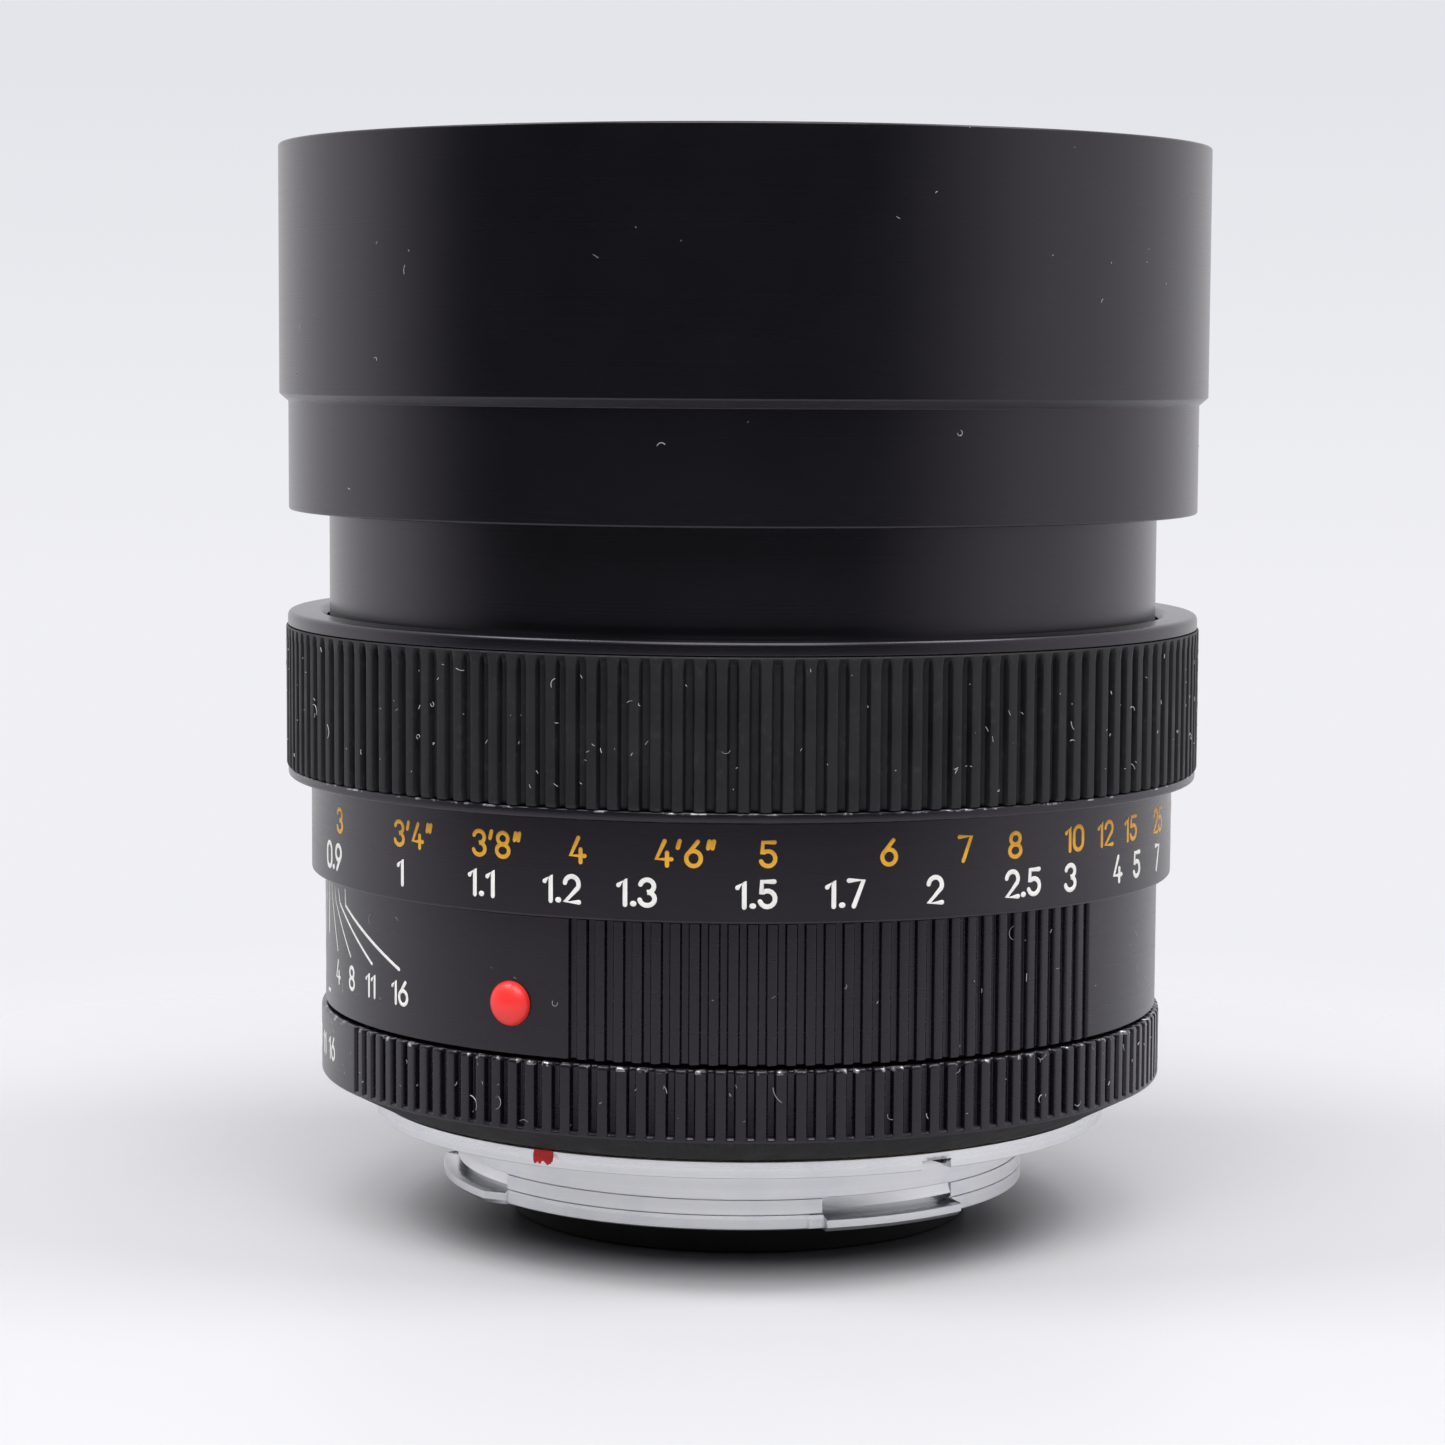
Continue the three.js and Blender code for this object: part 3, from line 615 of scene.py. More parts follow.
def make_aperture_ring():
    """The stop ring, fluted except where its numbers stand, with a pocket for the drive bar."""
    grooves = Grooves(-62.6, 113, 2.5, square_groove(0.55, 0.1))
    depth, start = 0.5, 12.15  # of the grooves, and their lower end
    outline = soften([
        (29.3, APERTURE_REAR), (30.2, APERTURE_REAR), (APERTURE_R, APERTURE_BEVEL, 0.12),
        (APERTURE_R, start, 0), (APERTURE_R, start + 0.2, 0), (APERTURE_R, APERTURE_FRONT, 0.34),
        (29.3, APERTURE_FRONT),
    ])

    def flute(radius, height, bearings):
        low = grooves.depth(bearings)[:, None]
        outer = (outline[:, 0] > 33.4) & (outline[:, 1] > start + 0.1)
        radius -= low * depth * outer[None, :]

    piece = ring("stop_ring", outline, [BLACK, BLACK_WORN, MATTE], grooves.bearings(), flute)
    paint_faces(piece, 1, lambda r, z, b: r > 33.95 and z > APERTURE_FRONT - 0.3)
    paint_faces(piece, 2, lambda r, z, b: z < APERTURE_BEVEL)
    pocket = sector_block(28.5, 31, 236.5, 243.5, 12.9, APERTURE_FRONT + 1)
    carve(piece, pocket)
    stands_for(piece, "aperture", "black_metal", "aperture_ring")


# ---- Camera mount ----

def mount_columns():
    """Plain steps, and close pairs of columns at each lug end and at the relief beside one."""
    marks = list(np.arange(-180, 180, PLAIN_STEP))
    corners = [b for lug in LUGS for b in lug] + [RELIEF_FROM, LEAD_IN[0]]
    for corner in corners:
        bearing = (corner + 180) % 360 - 180
        marks = [b for b in marks if abs(b - bearing) > 0.4]
        marks += [bearing - 0.06, bearing + 0.06]
    return np.unique(np.round(marks, 4))


def on_lug(bearings):
    """True at the bearings that a lug covers."""
    covered = np.zeros(len(bearings), bool)
    for start, end in LUGS:
        covered |= ((bearings - start) % 360) < (end - start)
    return covered


def make_bayonet():
    """The lugged tube, and the flange with its screw holes, joined as one piece."""
    chamfer, bore_r, flange_bore = 0.32, 21.3, 22.9
    groove_r = BAYONET_R - 0.16
    outline = np.array([
        (bore_r, 4.65), (bore_r, BAYONET_REAR), (BAYONET_R - 0.2, BAYONET_REAR),
        (BAYONET_R, BAYONET_REAR + 0.12),
        (BAYONET_R, 3.96), (groove_r, 4.0), (groove_r, 4.04), (BAYONET_R, 4.08),
        (BAYONET_R, 5.16), (groove_r, 5.2), (groove_r, 5.26), (BAYONET_R, 5.3),
        (BAYONET_R, FLANGE_FRONT - 0.1), (20.4, FLANGE_FRONT), (20.4, 4.65),
    ])
    # these points of the outline move where a lug stands
    lugged = {
        2: (LUG_R - chamfer, BAYONET_REAR), 3: (LUG_R, BAYONET_REAR + chamfer),
        4: (LUG_R, LUG_TOP - 0.05), 5: (LUG_R - 0.05, LUG_TOP), 6: (RECESS_R, LUG_TOP),
        7: (RECESS_R, RECESS_TOP), 8: (BAYONET_R, RECESS_TOP),
    }

    def shape(radius, height, bearings):
        lug = on_lug(bearings)
        for j, (r, z) in lugged.items():
            radius[lug, j], height[lug, j] = r, z
        step = (bearings > RELIEF_FROM) & (bearings < LUGS[0][0])
        radius[step, 3:5] += 0.14
        start, end = LEAD_IN
        slope = lug & (bearings > start) & (bearings < end)
        share = ((bearings[slope] - start) / (end - start))[:, None]
        radius[slope, 2:6] += (BAYONET_R + 0.1 - radius[slope, 2:6]) * share

    def in_recess(r, z, b):
        return r < 23.1 and LUG_TOP < z < RECESS_TOP and on_lug(np.array([b]))[0]

    tube = ring("mount_bayonet", outline, [SILVER, MATTE, STEEL], mount_columns(), shape, sharp=25)
    paint_faces(tube, 2, in_recess)
    paint_faces(tube, 1, lambda r, z, b: r < bore_r + 0.05 and z < 9)
    flange = ring("mount_flange", soften([
        (flange_bore, FLANGE_REAR, 0), (FLANGE_R, FLANGE_REAR, 0.16), (FLANGE_R, FLANGE_FRONT, 0.1),
        (flange_bore, FLANGE_FRONT, 0),
    ]), [SILVER, MATTE])
    cutters = [sector_block(NOTCH_R, 31, *LOCK_NOTCH, FLANGE_REAR - 1, NOTCH_TOP, SILVER)]
    hole_r = SCREW_HEAD_R + 0.12
    for bearing in SCREW_BEARINGS:
        cutters.append(pillar("hole", hole_r, SCREW_CIRCLE, bearing, 7, 9.1, SILVER, 0.0))
    carve(flange, *cutters)
    stands_for(join(tube, flange), "barrel", "bayonet_metal", "bayonet_mount")


def make_notch_painted_shade():
    """A dark sheet on the back wall of the lock notch, with a slanting lower edge: painted shade
    where the deep notch lies in shadow.
    """
    left, right, top = LOCK_NOTCH[0] + 1.7, LOCK_NOTCH[1] - 0.1, NOTCH_TOP - 0.02
    r_in, r_out = NOTCH_R - 0.05, NOTCH_R + 0.06
    # painted shade: a matte black sheet put where the notch's wall falls in shadow
    pocket = sector_block(r_in, r_out, left, right, FLANGE_REAR, top, MATTE, "notch_painted_shade")
    for vertex in pocket.data.vertices:
        x, y, z = vertex.co / MM
        along = (math.degrees(math.atan2(x, -y)) - left) / (right - left)
        if z < 8.6:  # the lower edge
            vertex.co.z = (8.97 - 0.55 * along) * MM
    stands_for(pocket, "barrel", "matte_black")


def make_plug():
    """The round plug in the flange's rim, beside the red dab."""
    plug_r, bearing, height = 0.5, -28.5, 8.93
    plug = pillar("round_plug", plug_r, 0, 0, 28.4, FLANGE_R + 0.01, SILVER, 0.06, 32)
    turn = Matrix.Rotation(math.radians(bearing), 4, "Z")
    tip = Matrix.Rotation(math.radians(90), 4, "X")
    plug.data.transform(Matrix.Translation((0, 0, height * MM)) @ (turn @ tip))
    stands_for(plug, "barrel", "bayonet_metal", "index_plug")


def make_screws():
    """Slotted screws, set a little below the flange's face."""
    head, seat, half_slot, slot_floor = 8.31, 9.0, 0.45, 8.62
    slot_in, slot_out = SCREW_CIRCLE - 2, SCREW_CIRCLE + 2
    for i, bearing in enumerate(SCREW_BEARINGS):
        name = f"screw_{i + 1}"
        screw = pillar(name, SCREW_HEAD_R, SCREW_CIRCLE, bearing, head, seat, STEEL, 0.18)
        start, end = bearing - half_slot, bearing + half_slot
        carve(screw, sector_block(slot_in, slot_out, start, end, 8, slot_floor))
        stands_for(screw, "barrel", "steel", f"mount_screw_{i + 1}")


def make_shroud():
    """The tube that the lens stands on. Its collar is slotted for the stop-down lever."""
    bore_r, tube_r, collar_r, collar, top = 17.3, 18.6, 21.1, 3.4, 4.6
    outline = soften([
        (bore_r, 0, 0.15), (tube_r, 0, 0.25), (tube_r, collar, 0.1), (collar_r, collar),
        (collar_r, top), (bore_r, top),
    ])
    piece = ring("rear_tube", outline, [MATTE])
    carve(piece, sector_block(18.62, 20.4, 209, 243, 2.4, 5.6))
    stands_for(piece, "barrel", "matte_black", "rear_shroud")
    lever = sector_block(18.9, 20.1, 211.5, 218.5, 1.8, 9.75, STEEL, "stop_lever", 0.25)
    stands_for(lever, "stop_down", "steel", "stop_down_lever")


# ---- Optical unit ----

def surface(vertex, curve, clear_r, edge_r=None, steps=14):
    """Points of a spherical surface from the axis out. A positive curve bulges to the front."""
    points = []
    for i in range(steps + 1):
        r = clear_r * i / steps
        sag = 0.0 if curve is None else abs(curve) - math.sqrt(curve * curve - r * r)
        points.append((r, vertex - (sag if curve is None else math.copysign(sag, curve))))
    if edge_r and edge_r > clear_r:
        points.append((edge_r, points[-1][1]))
    return points


def make_lenses():
    """Front and back surfaces of the seven elements, from the front."""
    gap = 0.03  # so that cemented faces don't share a surface
    shapes = (
        (surface(77, 55, 29.4), surface(68, 150, 29.4), GLASS_FRONT),
        (surface(66.5, 45, 25.5), surface(60.5, 90, 25.5), GLASS_INNER),
        (surface(59.5, 32, 21.5), surface(50.6, None, 21.5), GLASS_FRONT),
        (surface(50.6 - gap, None, 21.5), surface(47.5, 24, 15.5, 21.5), GLASS_INNER),
        (surface(28.5, -24, 13.5, 16.5), surface(26.7 + gap, None, 16.5), GLASS_INNER),
        (surface(26.7, None, 16.5), surface(19.5, -30, 16.5), GLASS_FRONT),
        (surface(18.9, 60, 16.5), surface(13.3, -80, 16.5), GLASS_FRONT),
    )
    for i, (front, back, material) in enumerate(shapes):
        piece = glass_body(f"glass_{i + 1}", front, back, material)
        stands_for(piece, "optics", "glass", f"lens_{i + 1}")


def make_cells():
    """The barrels, rings and bezel that hold the glass."""
    front = soften([
        (18, 39), (27.7, 39), (27.7, 49.6), (31.9, 49.6), (31.9, 74), (29.65, 74), (29.65, 64.9),
        (25.75, 64.9), (25.75, 56.5), (21.75, 56.5), (21.75, 41.5), (18, 41.5),
    ])
    stands_for(ring("front_glass_cell", front, [MATTE]), "optics", "matte_black", "front_cell")
    rear = soften([
        (15.4, 12.8, 0.2), (18.6, 12.8, 0.25), (18.6, 31), (24, 31), (24, 34), (16.7, 34),
        (16.7, 14.6), (15.4, 14.6, 0.2),
    ])
    stands_for(ring("rear_glass_cell", rear, [MATTE]), "optics", "matte_black", "rear_cell")
    bezel = soften([
        (29.0, 74.05), (31.95, 74.05), (31.95, 81.5), (31.2, 81.5, 0.1), (29.0, 75.45, 0.1),
    ], 0.1)
    stands_for(ring("front_bezel", bezel, [BLACK]), "optics", "black_metal", "name_bezel")
    rings = {
        "front_retaining_ring": (28.2, 29.4, 69.6, 72.0),
        "front_spacer_ring": (24.2, 25.5, 59.8, 64.8),
        "doublet_retaining_ring": (20.3, 21.5, 52.6, 53.9),
        "rear_spacer_ring": (15.9, 16.5, 17.0, 23.9),
        "rear_group_retaining_ring": (14.5, 16.5, 32.9, 33.9),
    }
    for node, (r_in, r_out, z0, z1) in rings.items():
        outline = soften([(r_in, z0), (r_out, z0), (r_out, z1), (r_in, z1)], 0.12)
        stands_for(ring("fine_" + node, outline, [MATTE]), "optics", "matte_black", node)


def make_blades():
    """Eight crescents like the CAD ones, with smooth edges and a small rounding."""
    inner_r, outer_r, pivot_r, ear_r, thick = 17.2, 25.4, 26.5, 1.15, 0.15
    turn = math.radians(30.53)  # turned in from fully open, at rest
    inner = [(inner_r, math.radians(a)) for a in np.linspace(-3, 108, 40)]
    outer = [(outer_r, math.radians(a)) for a in np.linspace(103, 6, 36)]
    flat = [(r * math.cos(a), r * math.sin(a)) for r, a in inner + outer]
    ear = [math.radians(a) for a in np.linspace(110, -110, 16)]
    flat += [(pivot_r + ear_r * math.cos(a), ear_r * math.sin(a)) for a in ear]
    for index in range(8):
        bearing = math.radians(101.25 + 45 * index - 90)
        low = 35.15 + 0.3 * index
        points = []
        for x, y in flat:
            dx, dy = x - pivot_r, y
            x2 = pivot_r + dx * math.cos(turn) - dy * math.sin(turn)
            y2 = dx * math.sin(turn) + dy * math.cos(turn)
            points.append((x2 * math.cos(bearing) - y2 * math.sin(bearing),
                           x2 * math.sin(bearing) + y2 * math.cos(bearing)))
        count = len(points)
        verts = [Vector((x, y, z)) * MM for z in (low, low + thick) for x, y in points]
        faces = [tuple(range(count)), tuple(range(2 * count - 1, count - 1, -1))]
        faces += [(i, (i + 1) % count, count + (i + 1) % count, count + i) for i in range(count)]
        piece = new_piece(f"blade_{index + 1}", verts, faces, [BLADE])
        stands_for(piece, f"iris_blade_{index + 1}", "blade_steel", f"iris_blade_{index + 1}")


# ---- Numerals and marks ----

def arc(cx, cy, rx, ry, start, end, steps=12):
    """Points of an ellipse from one angle to another, in degrees."""
    angles = [math.radians(start + (end - start) * i / steps) for i in range(steps + 1)]
    return [(cx + rx * math.cos(a), cy + ry * math.sin(a)) for a in angles]


# Each glyph is its width and its strokes, for a height of 1.
GLYPHS = {
    "0": (0.6, [arc(0.3, 0.68, 0.3, 0.32, 0, 180) + arc(0.3, 0.32, 0.3, 0.32, 180, 360)
                + [(0.6, 0.68)]]),
    "1": (0.34, [[(0.02, 0.76), (0.28, 1.0), (0.28, 0.0)]]),
    "2": (0.6, [arc(0.3, 0.7, 0.29, 0.3, 172, -28) + [(0.02, 0.0), (0.6, 0.0)]]),
    "3": (0.58, [arc(0.28, 0.75, 0.27, 0.25, 165, -90) + [(0.2, 0.5), (0.28, 0.5)]
                 + arc(0.28, 0.26, 0.3, 0.26, 88, -168)]),
    "4": (0.64, [[(0.36, 1.0), (0.02, 0.26), (0.64, 0.26)], [(0.46, 0.52), (0.46, 0.0)]]),
    "5": (0.6, [[(0.55, 1.0), (0.08, 1.0), (0.06, 0.52)] + arc(0.29, 0.33, 0.3, 0.31, 128, -160)]),
    "6": (0.62, [[(0.48, 1.0), (0.06, 0.46)] + arc(0.31, 0.31, 0.3, 0.31, 150, 510, 20)]),
    "7": (0.58, [[(0.0, 1.0), (0.58, 1.0), (0.2, 0.0)]]),
    "8": (0.6, [arc(0.3, 0.76, 0.25, 0.24, -90, 270, 18), arc(0.3, 0.26, 0.3, 0.26, 90, 450, 20)]),
    "9": (0.62, [[(0.14, 0.0), (0.56, 0.54)] + arc(0.31, 0.69, 0.3, 0.31, -30, 330, 20)]),
    ".": (0.14, [[(0.05, 0.05), (0.09, 0.05)]]),
    "'": (0.2, [[(0.14, 1.02), (0.06, 0.74)]]),
    '"': (0.36, [[(0.14, 1.02), (0.08, 0.74)], [(0.32, 1.02), (0.26, 0.74)]]),
    "~": (1.1, [arc(0.28, 0.5, 0.27, 0.25, 40, 320, 14) + arc(0.82, 0.5, 0.27, 0.25, -140, 140, 14)
                + [(0.49, 0.66)]]),
}
LETTER_GAP = 0.2


def ribbon(points, half, lift):
    """A thin domed strip along a flat line: points across it, in rows of (u, v, height)."""
    line = np.array(points, float)
    keep = [0] + [i for i in range(1, len(line)) if np.linalg.norm(line[i] - line[i - 1]) > 1e-4]
    line = line[keep]
    along = np.gradient(line, axis=0)
    along /= np.linalg.norm(along, axis=1)[:, None]
    caps = (0.0, 0.5, 0.85)  # widths of the rows that round off each end

    def cap(end, outward, share):
        centre = line[end] + outward * along[end] * half * math.sqrt(1 - share ** 2)
        return centre, along[end], max(share, 0.05)

    rows = [cap(0, -1, share) for share in caps]
    rows += [(p, a, 1.0) for p, a in zip(line, along)]
    rows += [cap(-1, 1, share) for share in caps[::-1]]
    across = ((-1, -0.03), (-1, 0.0), (-0.6, 0.8), (0, 1.0), (0.6, 0.8), (1, 0.0), (1, -0.03))
    strip = []
    for centre, direction, width in rows:
        side = np.array([direction[1], -direction[0]]) * half * width
        strip.append([(*(centre + side * a), h * lift if h > 0 else h) for a, h in across])
    return strip


def wrapped(name, strips, radius, material):
    """Strips of (u along the ring, v up, height) laid on a cylinder. u counts from bearing 0."""
    verts, faces = [], []
    for strip in strips:
        size, first = len(strip[0]), len(verts)
        for row in strip:
            verts += [on_ring(radius + h, math.degrees(u / radius), v) for u, v, h in row]
        for i in range(len(strip) - 1):
            faces += faces_between(first + i * size, first + (i + 1) * size, size)
        last = first + (len(strip) - 1) * size
        faces += [tuple(range(first, first + size)), tuple(range(last, last + size))]
    mesh = bpy.data.meshes.new(name)
    mesh.from_pydata([tuple(v) for v in verts], [], faces)
    mesh.materials.append(material)
    mesh.shade_smooth()
    shape = bmesh.new()
    shape.from_mesh(mesh)
    bmesh.ops.recalc_face_normals(shape, faces=shape.faces)
    shape.to_mesh(mesh)
    shape.free()
    return link(name, mesh)


def label(text, bearing, centre_z, tall, radius, half=0.182, lift=0.02):
    """The strips of one number, centred on a bearing and a height."""
    widths = [GLYPHS[c][0] for c in text]
    total = sum(widths) + LETTER_GAP * (len(text) - 1)
    u = math.radians(bearing) * radius - total * tall / 2
    strips = []
    for c, width in zip(text, widths):
        for stroke in GLYPHS[c][1]:
            line = [(u + x * tall, centre_z + (y - 0.5) * tall) for x, y in stroke]
            strips.append(ribbon(line, half * (1.15 if c == "." else 1), lift))
        u += (width + LETTER_GAP) * tall
    return strips


def line_on_ring(points, radius, half=0.09, lift=0.015):
    """A straight-sided mark through (bearing, height) points."""
    flat = []
    for (b0, z0), (b1, z1) in zip(points, points[1:]):
        steps = max(2, round(abs(b1 - b0) / 1.5))
        flat += [(b0 + (b1 - b0) * t / steps, z0 + (z1 - z0) * t / steps) for t in range(steps)]
    flat.append(points[-1])
    return ribbon([(math.radians(b) * radius, z) for b, z in flat], half, lift)


def make_distance_numbers():
    """Bearings of the two distance scales at rest. A tilde stands for the sign of infinity."""
    metres = {
        "0.8": -89.9, "0.9": -65.65, "1": -47.55, "1.1": -33.46, "1.2": -22.13, "1.3": -12.56,
        "1.5": 1.93, "1.7": 12.71, "2": 24.3, "2.5": 37.27, "3": 45.58, "4": 56.05, "5": 61.61,
        "7": 69.72, "~": 85.8,
    }
    feet = {
        "3": -63.31, "3'4\"": -45.16, "3'8\"": -31.2, "4": -20.03, "4'6\"": -6.6, "5": 3.34,
        "6": 18.2, "7": 28.41, "8": 35.91, "10": 46.26, "12": 52.91, "15": 59.55, "25": 69.92,
        "~": 85.8,
    }
    nudge = 0.35  # degrees, fitted to the scale as a whole
    white, amber = [], []
    for text, bearing in metres.items():
        white += label(text, bearing - nudge, 30.55, 1.9, SCALE_R)
    for text, bearing in feet.items():
        amber += label(text, bearing - nudge, 33.5, 1.8, SCALE_R, 0.165)
    stands_for(wrapped("metre_numbers", white, SCALE_R, WHITE), "focus", "white_paint")
    stands_for(wrapped("feet_numbers", amber, SCALE_R, AMBER), "focus", "amber_paint")


def make_depth_marks():
    """Depth of field lines and their stop numbers, mirrored about the index."""
    lines = (
        [(-66.9, 27.7), (-66.7, 26.5), (-50.8, 22.7)],
        [(-70.1, 27.5), (-69.3, 26.5), (-57.7, 22.6)],
        [(-72.2, 27.6), (-71.6, 26.5), (-64.7, 22.6)],
        [(-74.2, 27.6), (-73.8, 26.5), (-70.5, 22.6)],
    )
    numbers = {"16": -50.3, "11": -57.7, "8": -63.9, "4": -70.0}
    number_z, tall, half_stroke = 20.9, 1.75, 0.15
    strips = []
    for line, half in zip(lines, (0.14, 0.12, 0.09, 0.09)):
        strips.append(line_on_ring(line, BARREL_R, half))
        strips.append(line_on_ring([(2 * INDEX_BEARING - b, z) for b, z in line], BARREL_R, half))
    for text, bearing in numbers.items():
        for place in (bearing - 0.4, 2 * INDEX_BEARING - bearing):
            strips += label(text, place, number_z, tall, BARREL_R, half_stroke)
    dash = [(INDEX_BEARING - 0.8, 18.9), (INDEX_BEARING + 0.8, 18.9)]
    strips.append(line_on_ring([(INDEX_BEARING, 27.8), (INDEX_BEARING, 23.6)], BARREL_R, 0.14))
    strips.append(line_on_ring(dash, BARREL_R, 0.16))
    stands_for(wrapped("depth_marks", strips, BARREL_R, WHITE), "barrel", "white_paint")


def make_stop_numbers():
    """Stops of the aperture ring, spaced so that they reach the index within its travel."""
    stops = ("16", "11", "8", "5.6", "4", "2.8", "2", "1.4")
    first, step = -72.0, 5.36
    strips = []
    for i, text in enumerate(stops):
        strips += label(text, first - step * i, 14.6, 1.7, APERTURE_R, 0.15)
    stands_for(wrapped("stop_numbers", strips, APERTURE_R, WHITE), "aperture", "white_paint")


def make_red_patch():
    """A ragged dab of red paint on the flange's rim, beside the round plug."""
    dice = random.Random(4)
    start, step, top = -31.6, 0.36, FLANGE_FRONT - 0.14
    strips = []
    for i in range(9):
        bottom = FLANGE_REAR + 0.34 + 0.3 * dice.random() - 0.25 * (i < 4) * dice.random()
        u = math.radians(start + step * i) * FLANGE_R
        line = [(u + 0.05 * dice.uniform(-1, 1), bottom + (top - bottom) * t / 4) for t in range(5)]
        strips.append(ribbon(line, 0.16, 0.03 + 0.02 * dice.random()))
    stands_for(wrapped("red_dab", strips, FLANGE_R, RED_DRY), "barrel", "red_enamel")


def make_lint():
    """Fine fibres and crumbs of dust: bands of (radius, low, high, count) on each body."""
    places = {
        "hood": ((37.5, 68, 84, 40), (36.78, 59, 65, 12)), "focus": ((37.04, 38, 47.5, 220),),
        "barrel": ((33.94, 18.5, 27.5, 90),), "aperture": ((34.28, 12.6, 17, 110),),
    }
    dice = random.Random(11)
    for body, bands in places.items():
        strips, radius = [], bands[0][0]
        for band_r, low, high, count in bands:
            for _ in range(count):
                bearing, z = dice.uniform(-180, 180), dice.uniform(low, high)
                u, heading, line = math.radians(bearing) * radius, dice.uniform(0, 6.28), []
                curl, length = dice.uniform(-0.6, 0.6), dice.uniform(0.03, 0.2)
                for _ in range(dice.choice((2, 2, 3, 3, 5, 9))):
                    line.append((u, z))
                    u, z = u + math.cos(heading) * length, z + math.sin(heading) * length
                    heading += curl
                strip = ribbon(line, dice.uniform(0.009, 0.024), 0.03)
                drop = band_r - radius
                strips.append([[(a, b, h + drop) for a, b, h in row] for row in strip])
        stands_for(wrapped(f"lint_on_{body}", strips, radius, LINT), body, "felt")


# ---- Stage, light and camera ----

def make_floor():
    """A pale floor with a painted shadow under the lens, in metres.

    The camera sees it only round the lens, so that it has no horizon, and only from above.
    """
    # the second and third radii bound the painted shadow round the lens
    radius, painted_shadow_r, painted_shadow_edge, fade_from, fade_to = 0.28, 0.020, 0.028, 0.05, 0.15
    mesh = bpy.data.meshes.new("floor")
    shape = bmesh.new()
    bmesh.ops.create_circle(shape, cap_ends=True, segments=96, radius=radius)
    shape.to_mesh(mesh)
    shape.free()
    floor = link("floor", mesh)
    floor.location = (0, 0, -0.0001)
    finish = Finish("floor", Roughness=0.5, Specular_IOR_Level=0.25)
    away = finish.add("SeparateXYZ", {0: finish.around()}).outputs["X"]
    pale = finish.blend(finish.noise(30, 4.0), (0.60, 0.60, 0.615), (0.62, 0.62, 0.635))
    # painted shadow: the floor's colour darkens towards the lens's foot in place of its contact
    # shadow
    finish.colour(finish.blend(finish.fit(away, painted_shadow_edge, painted_shadow_r, 0, 1), pale, (0.16, 0.16, 0.17)))
    seen = finish.add("LightPath").outputs["Is Camera Ray"]
    below = finish.add("NewGeometry").outputs["Backfacing"]
    far = finish.math("MAXIMUM", finish.fit(away, fade_from, fade_to, 0, 1), below)
    gone = finish.math("MULTIPLY", far, seen)
    clear = finish.add("BsdfTransparent")
    both = finish.add("MixShader", {0: gone, 1: finish.shader.outputs[0], 2: clear.outputs[0]})
    finish.links.new(both.outputs[0], finish.nodes["Material Output"].inputs["Surface"])
    mesh.materials.append(finish.material)


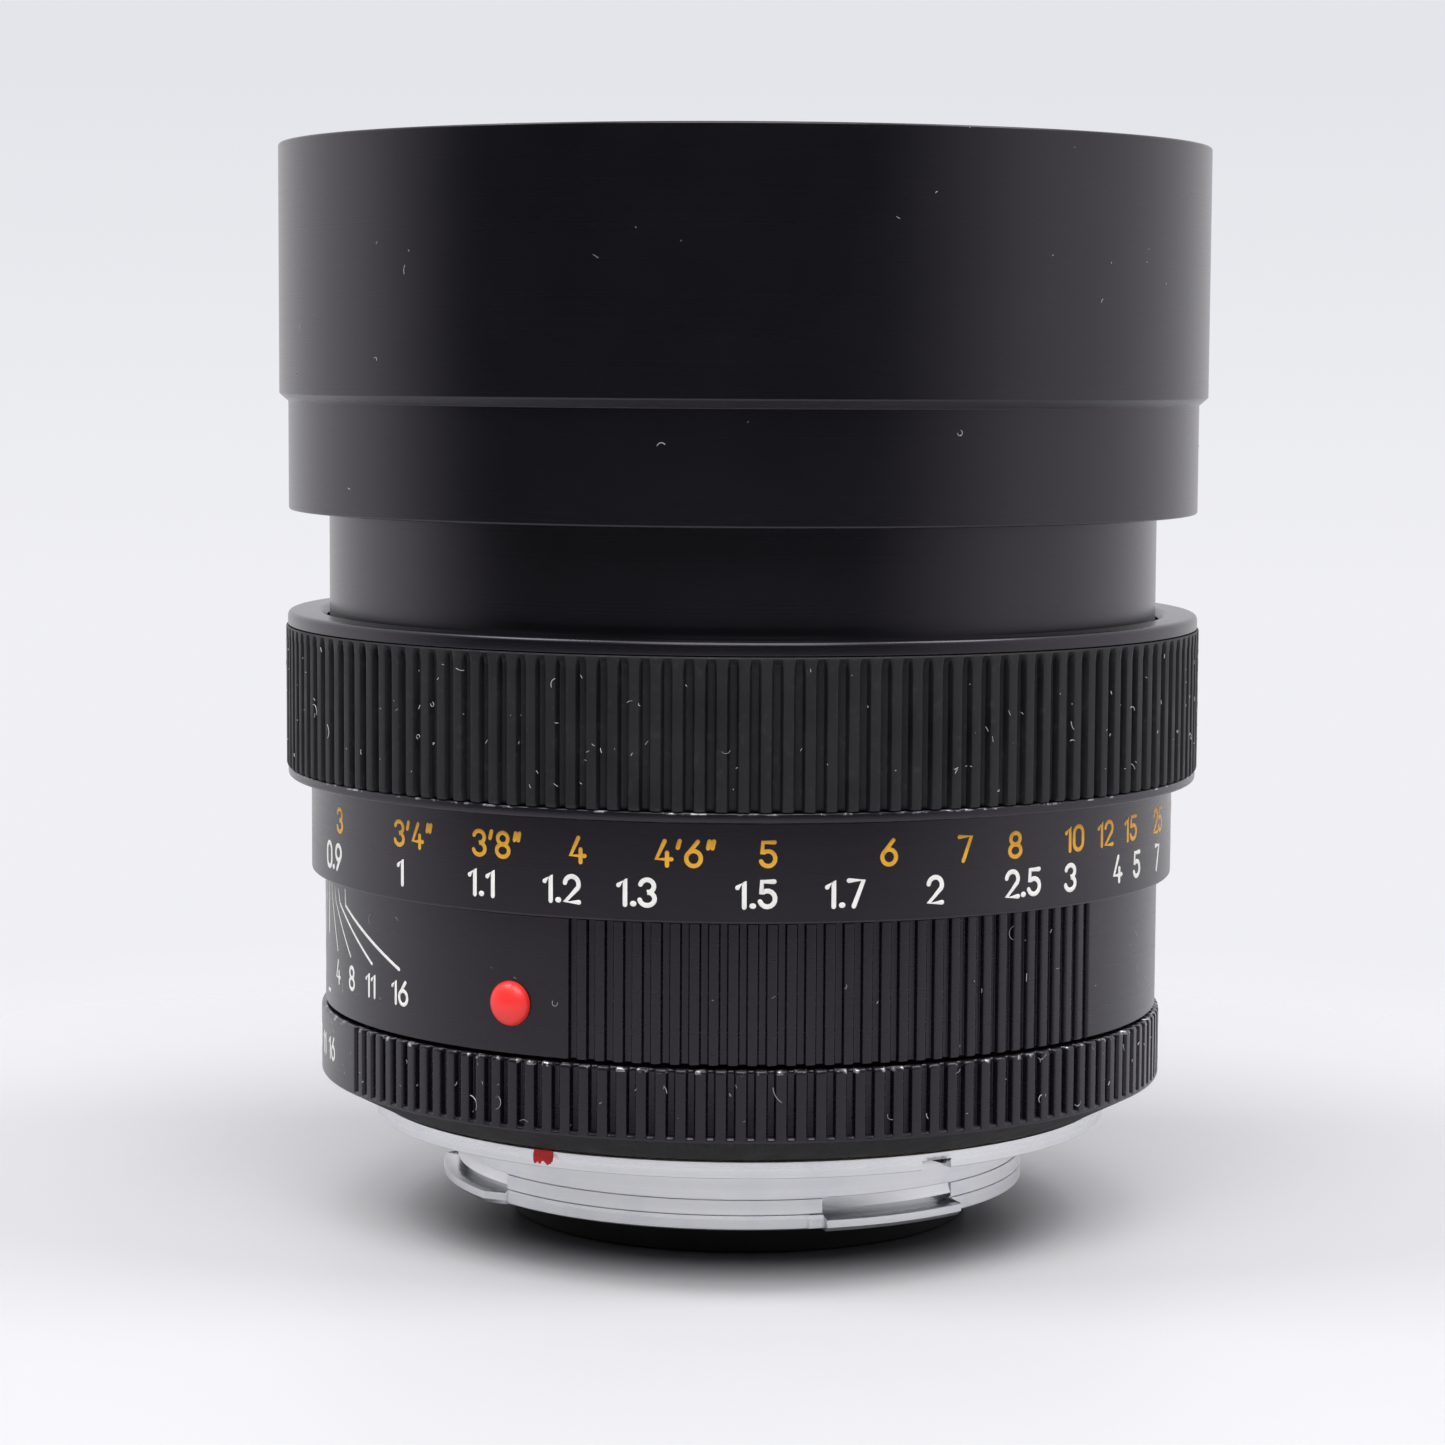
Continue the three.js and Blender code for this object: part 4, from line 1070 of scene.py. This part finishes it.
def make_world():
    """A tent with a dark opening in front for glossy rays, a plain overhead light for diffuse
    rays, and a plain pale backdrop for the camera.
    """
    white = (1.0, 0.985, 1.02, 1)
    world = bpy.data.worlds.new("tent")
    bpy.context.scene.world = world
    world.use_nodes = True
    tree = world.node_tree
    tree.nodes.clear()

    def add(kind, *values, **settings):
        return add_node(tree, kind, enumerate(values), **settings)

    split = add("SeparateXYZ", add("TexCoord").outputs["Generated"]).outputs
    front = add("Math", split["Y"], -1.0, operation="MULTIPLY").outputs[0]
    bearing = add("Math", split["X"], front, operation="ARCTAN2").outputs[0]
    right = add("MapRange", bearing, math.radians(34), math.radians(74), 0.0, 1.0).outputs[0]
    left = add("MapRange", bearing, math.radians(-70), math.radians(-104), 0.0, 1.0).outputs[0]
    top = add("MapRange", split["Z"], 0.45, 0.85, 0.0, 0.6).outputs[0]
    side = add("Math", right, left, operation="MAXIMUM").outputs[0]
    lit = add("Math", side, top, operation="MAXIMUM").outputs[0]
    level = add("MapRange", lit, 0.0, 1.0, 0.03, 1.0).outputs[0]
    tent = add("Background", white, level)
    high = add("MapRange", split["Z"], 0.0, 0.7, 0.16, 0.56).outputs[0]
    overhead = add("Background", white, high)
    path = add("LightPath").outputs
    lit_by = add("MixShader", path["Is Diffuse Ray"], tent.outputs[0], overhead.outputs[0])
    rise = add("MapRange", split["Z"], -0.06, 0.07, 0.0, 1.0).outputs[0]
    low_tone, high_tone = (0.87, 0.87, 0.905, 1), (0.775, 0.785, 0.825, 1)
    tone = add_node(tree, "Mix", {0: rise, 6: low_tone, 7: high_tone}, data_type="RGBA")
    backdrop = add("Background", tone.outputs[2], 1.0)
    both = add("MixShader", path["Is Camera Ray"], lit_by.outputs[0], backdrop.outputs[0])
    add("OutputWorld", both.outputs[0])


def make_lights():
    """Two soft panels overhead, which light the bead and the rims, and one in front."""
    panels = (  # name, place, size in metres, power in watts
        ("left_panel", (-0.45, -0.09, 0.7), 0.3, 2.3),
        ("right_panel", (0.45, -0.09, 0.7), 0.3, 2.3),
        ("front_panel", (0.0, -0.4, 0.62), 0.5, 3.7),
    )
    aimed_at = Vector((0, 0, 0.04))
    for name, place, size, power in panels:
        light = bpy.data.lights.new(name, "AREA")
        light.size, light.energy = size, power
        lamp = link(name, light)
        lamp.location = place
        aim = aimed_at - Vector(place)
        lamp.rotation_euler = aim.to_track_quat("-Z", "Y").to_euler()


def make_camera():
    """Close in front, a little above the middle of the lens and pitched down."""
    camera = bpy.data.cameras.new("camera")
    camera.lens, camera.sensor_width = 96.42, 36
    camera.clip_start, camera.clip_end = 0.01, 10
    eye = link("camera", camera)
    place, down, roll = (-0.00157, -0.3157, 0.06966), 5.39, 0.00549
    pitch = math.radians(90 - down)
    tilt = Matrix.Rotation(pitch, 4, "X") @ Matrix.Rotation(roll, 4, "Z")
    eye.matrix_world = Matrix.Translation(place) @ tilt
    bpy.context.scene.camera = eye
    bpy.context.scene.view_settings.view_transform = "Standard"


# ---- The scene ----

make_camera()
make_world()
make_lights()
make_floor()
dress_cad_nodes()
make_hood()
make_front_barrel()
make_focus_ring()
make_rubber()
make_scale_ring()
make_fixed_barrel()
make_bead()
make_aperture_ring()
make_bayonet()
make_notch_painted_shade()
make_plug()
make_screws()
make_shroud()
make_lenses()
make_cells()
make_blades()
make_distance_numbers()
make_depth_marks()
make_stop_numbers()
make_red_patch()
make_lint()
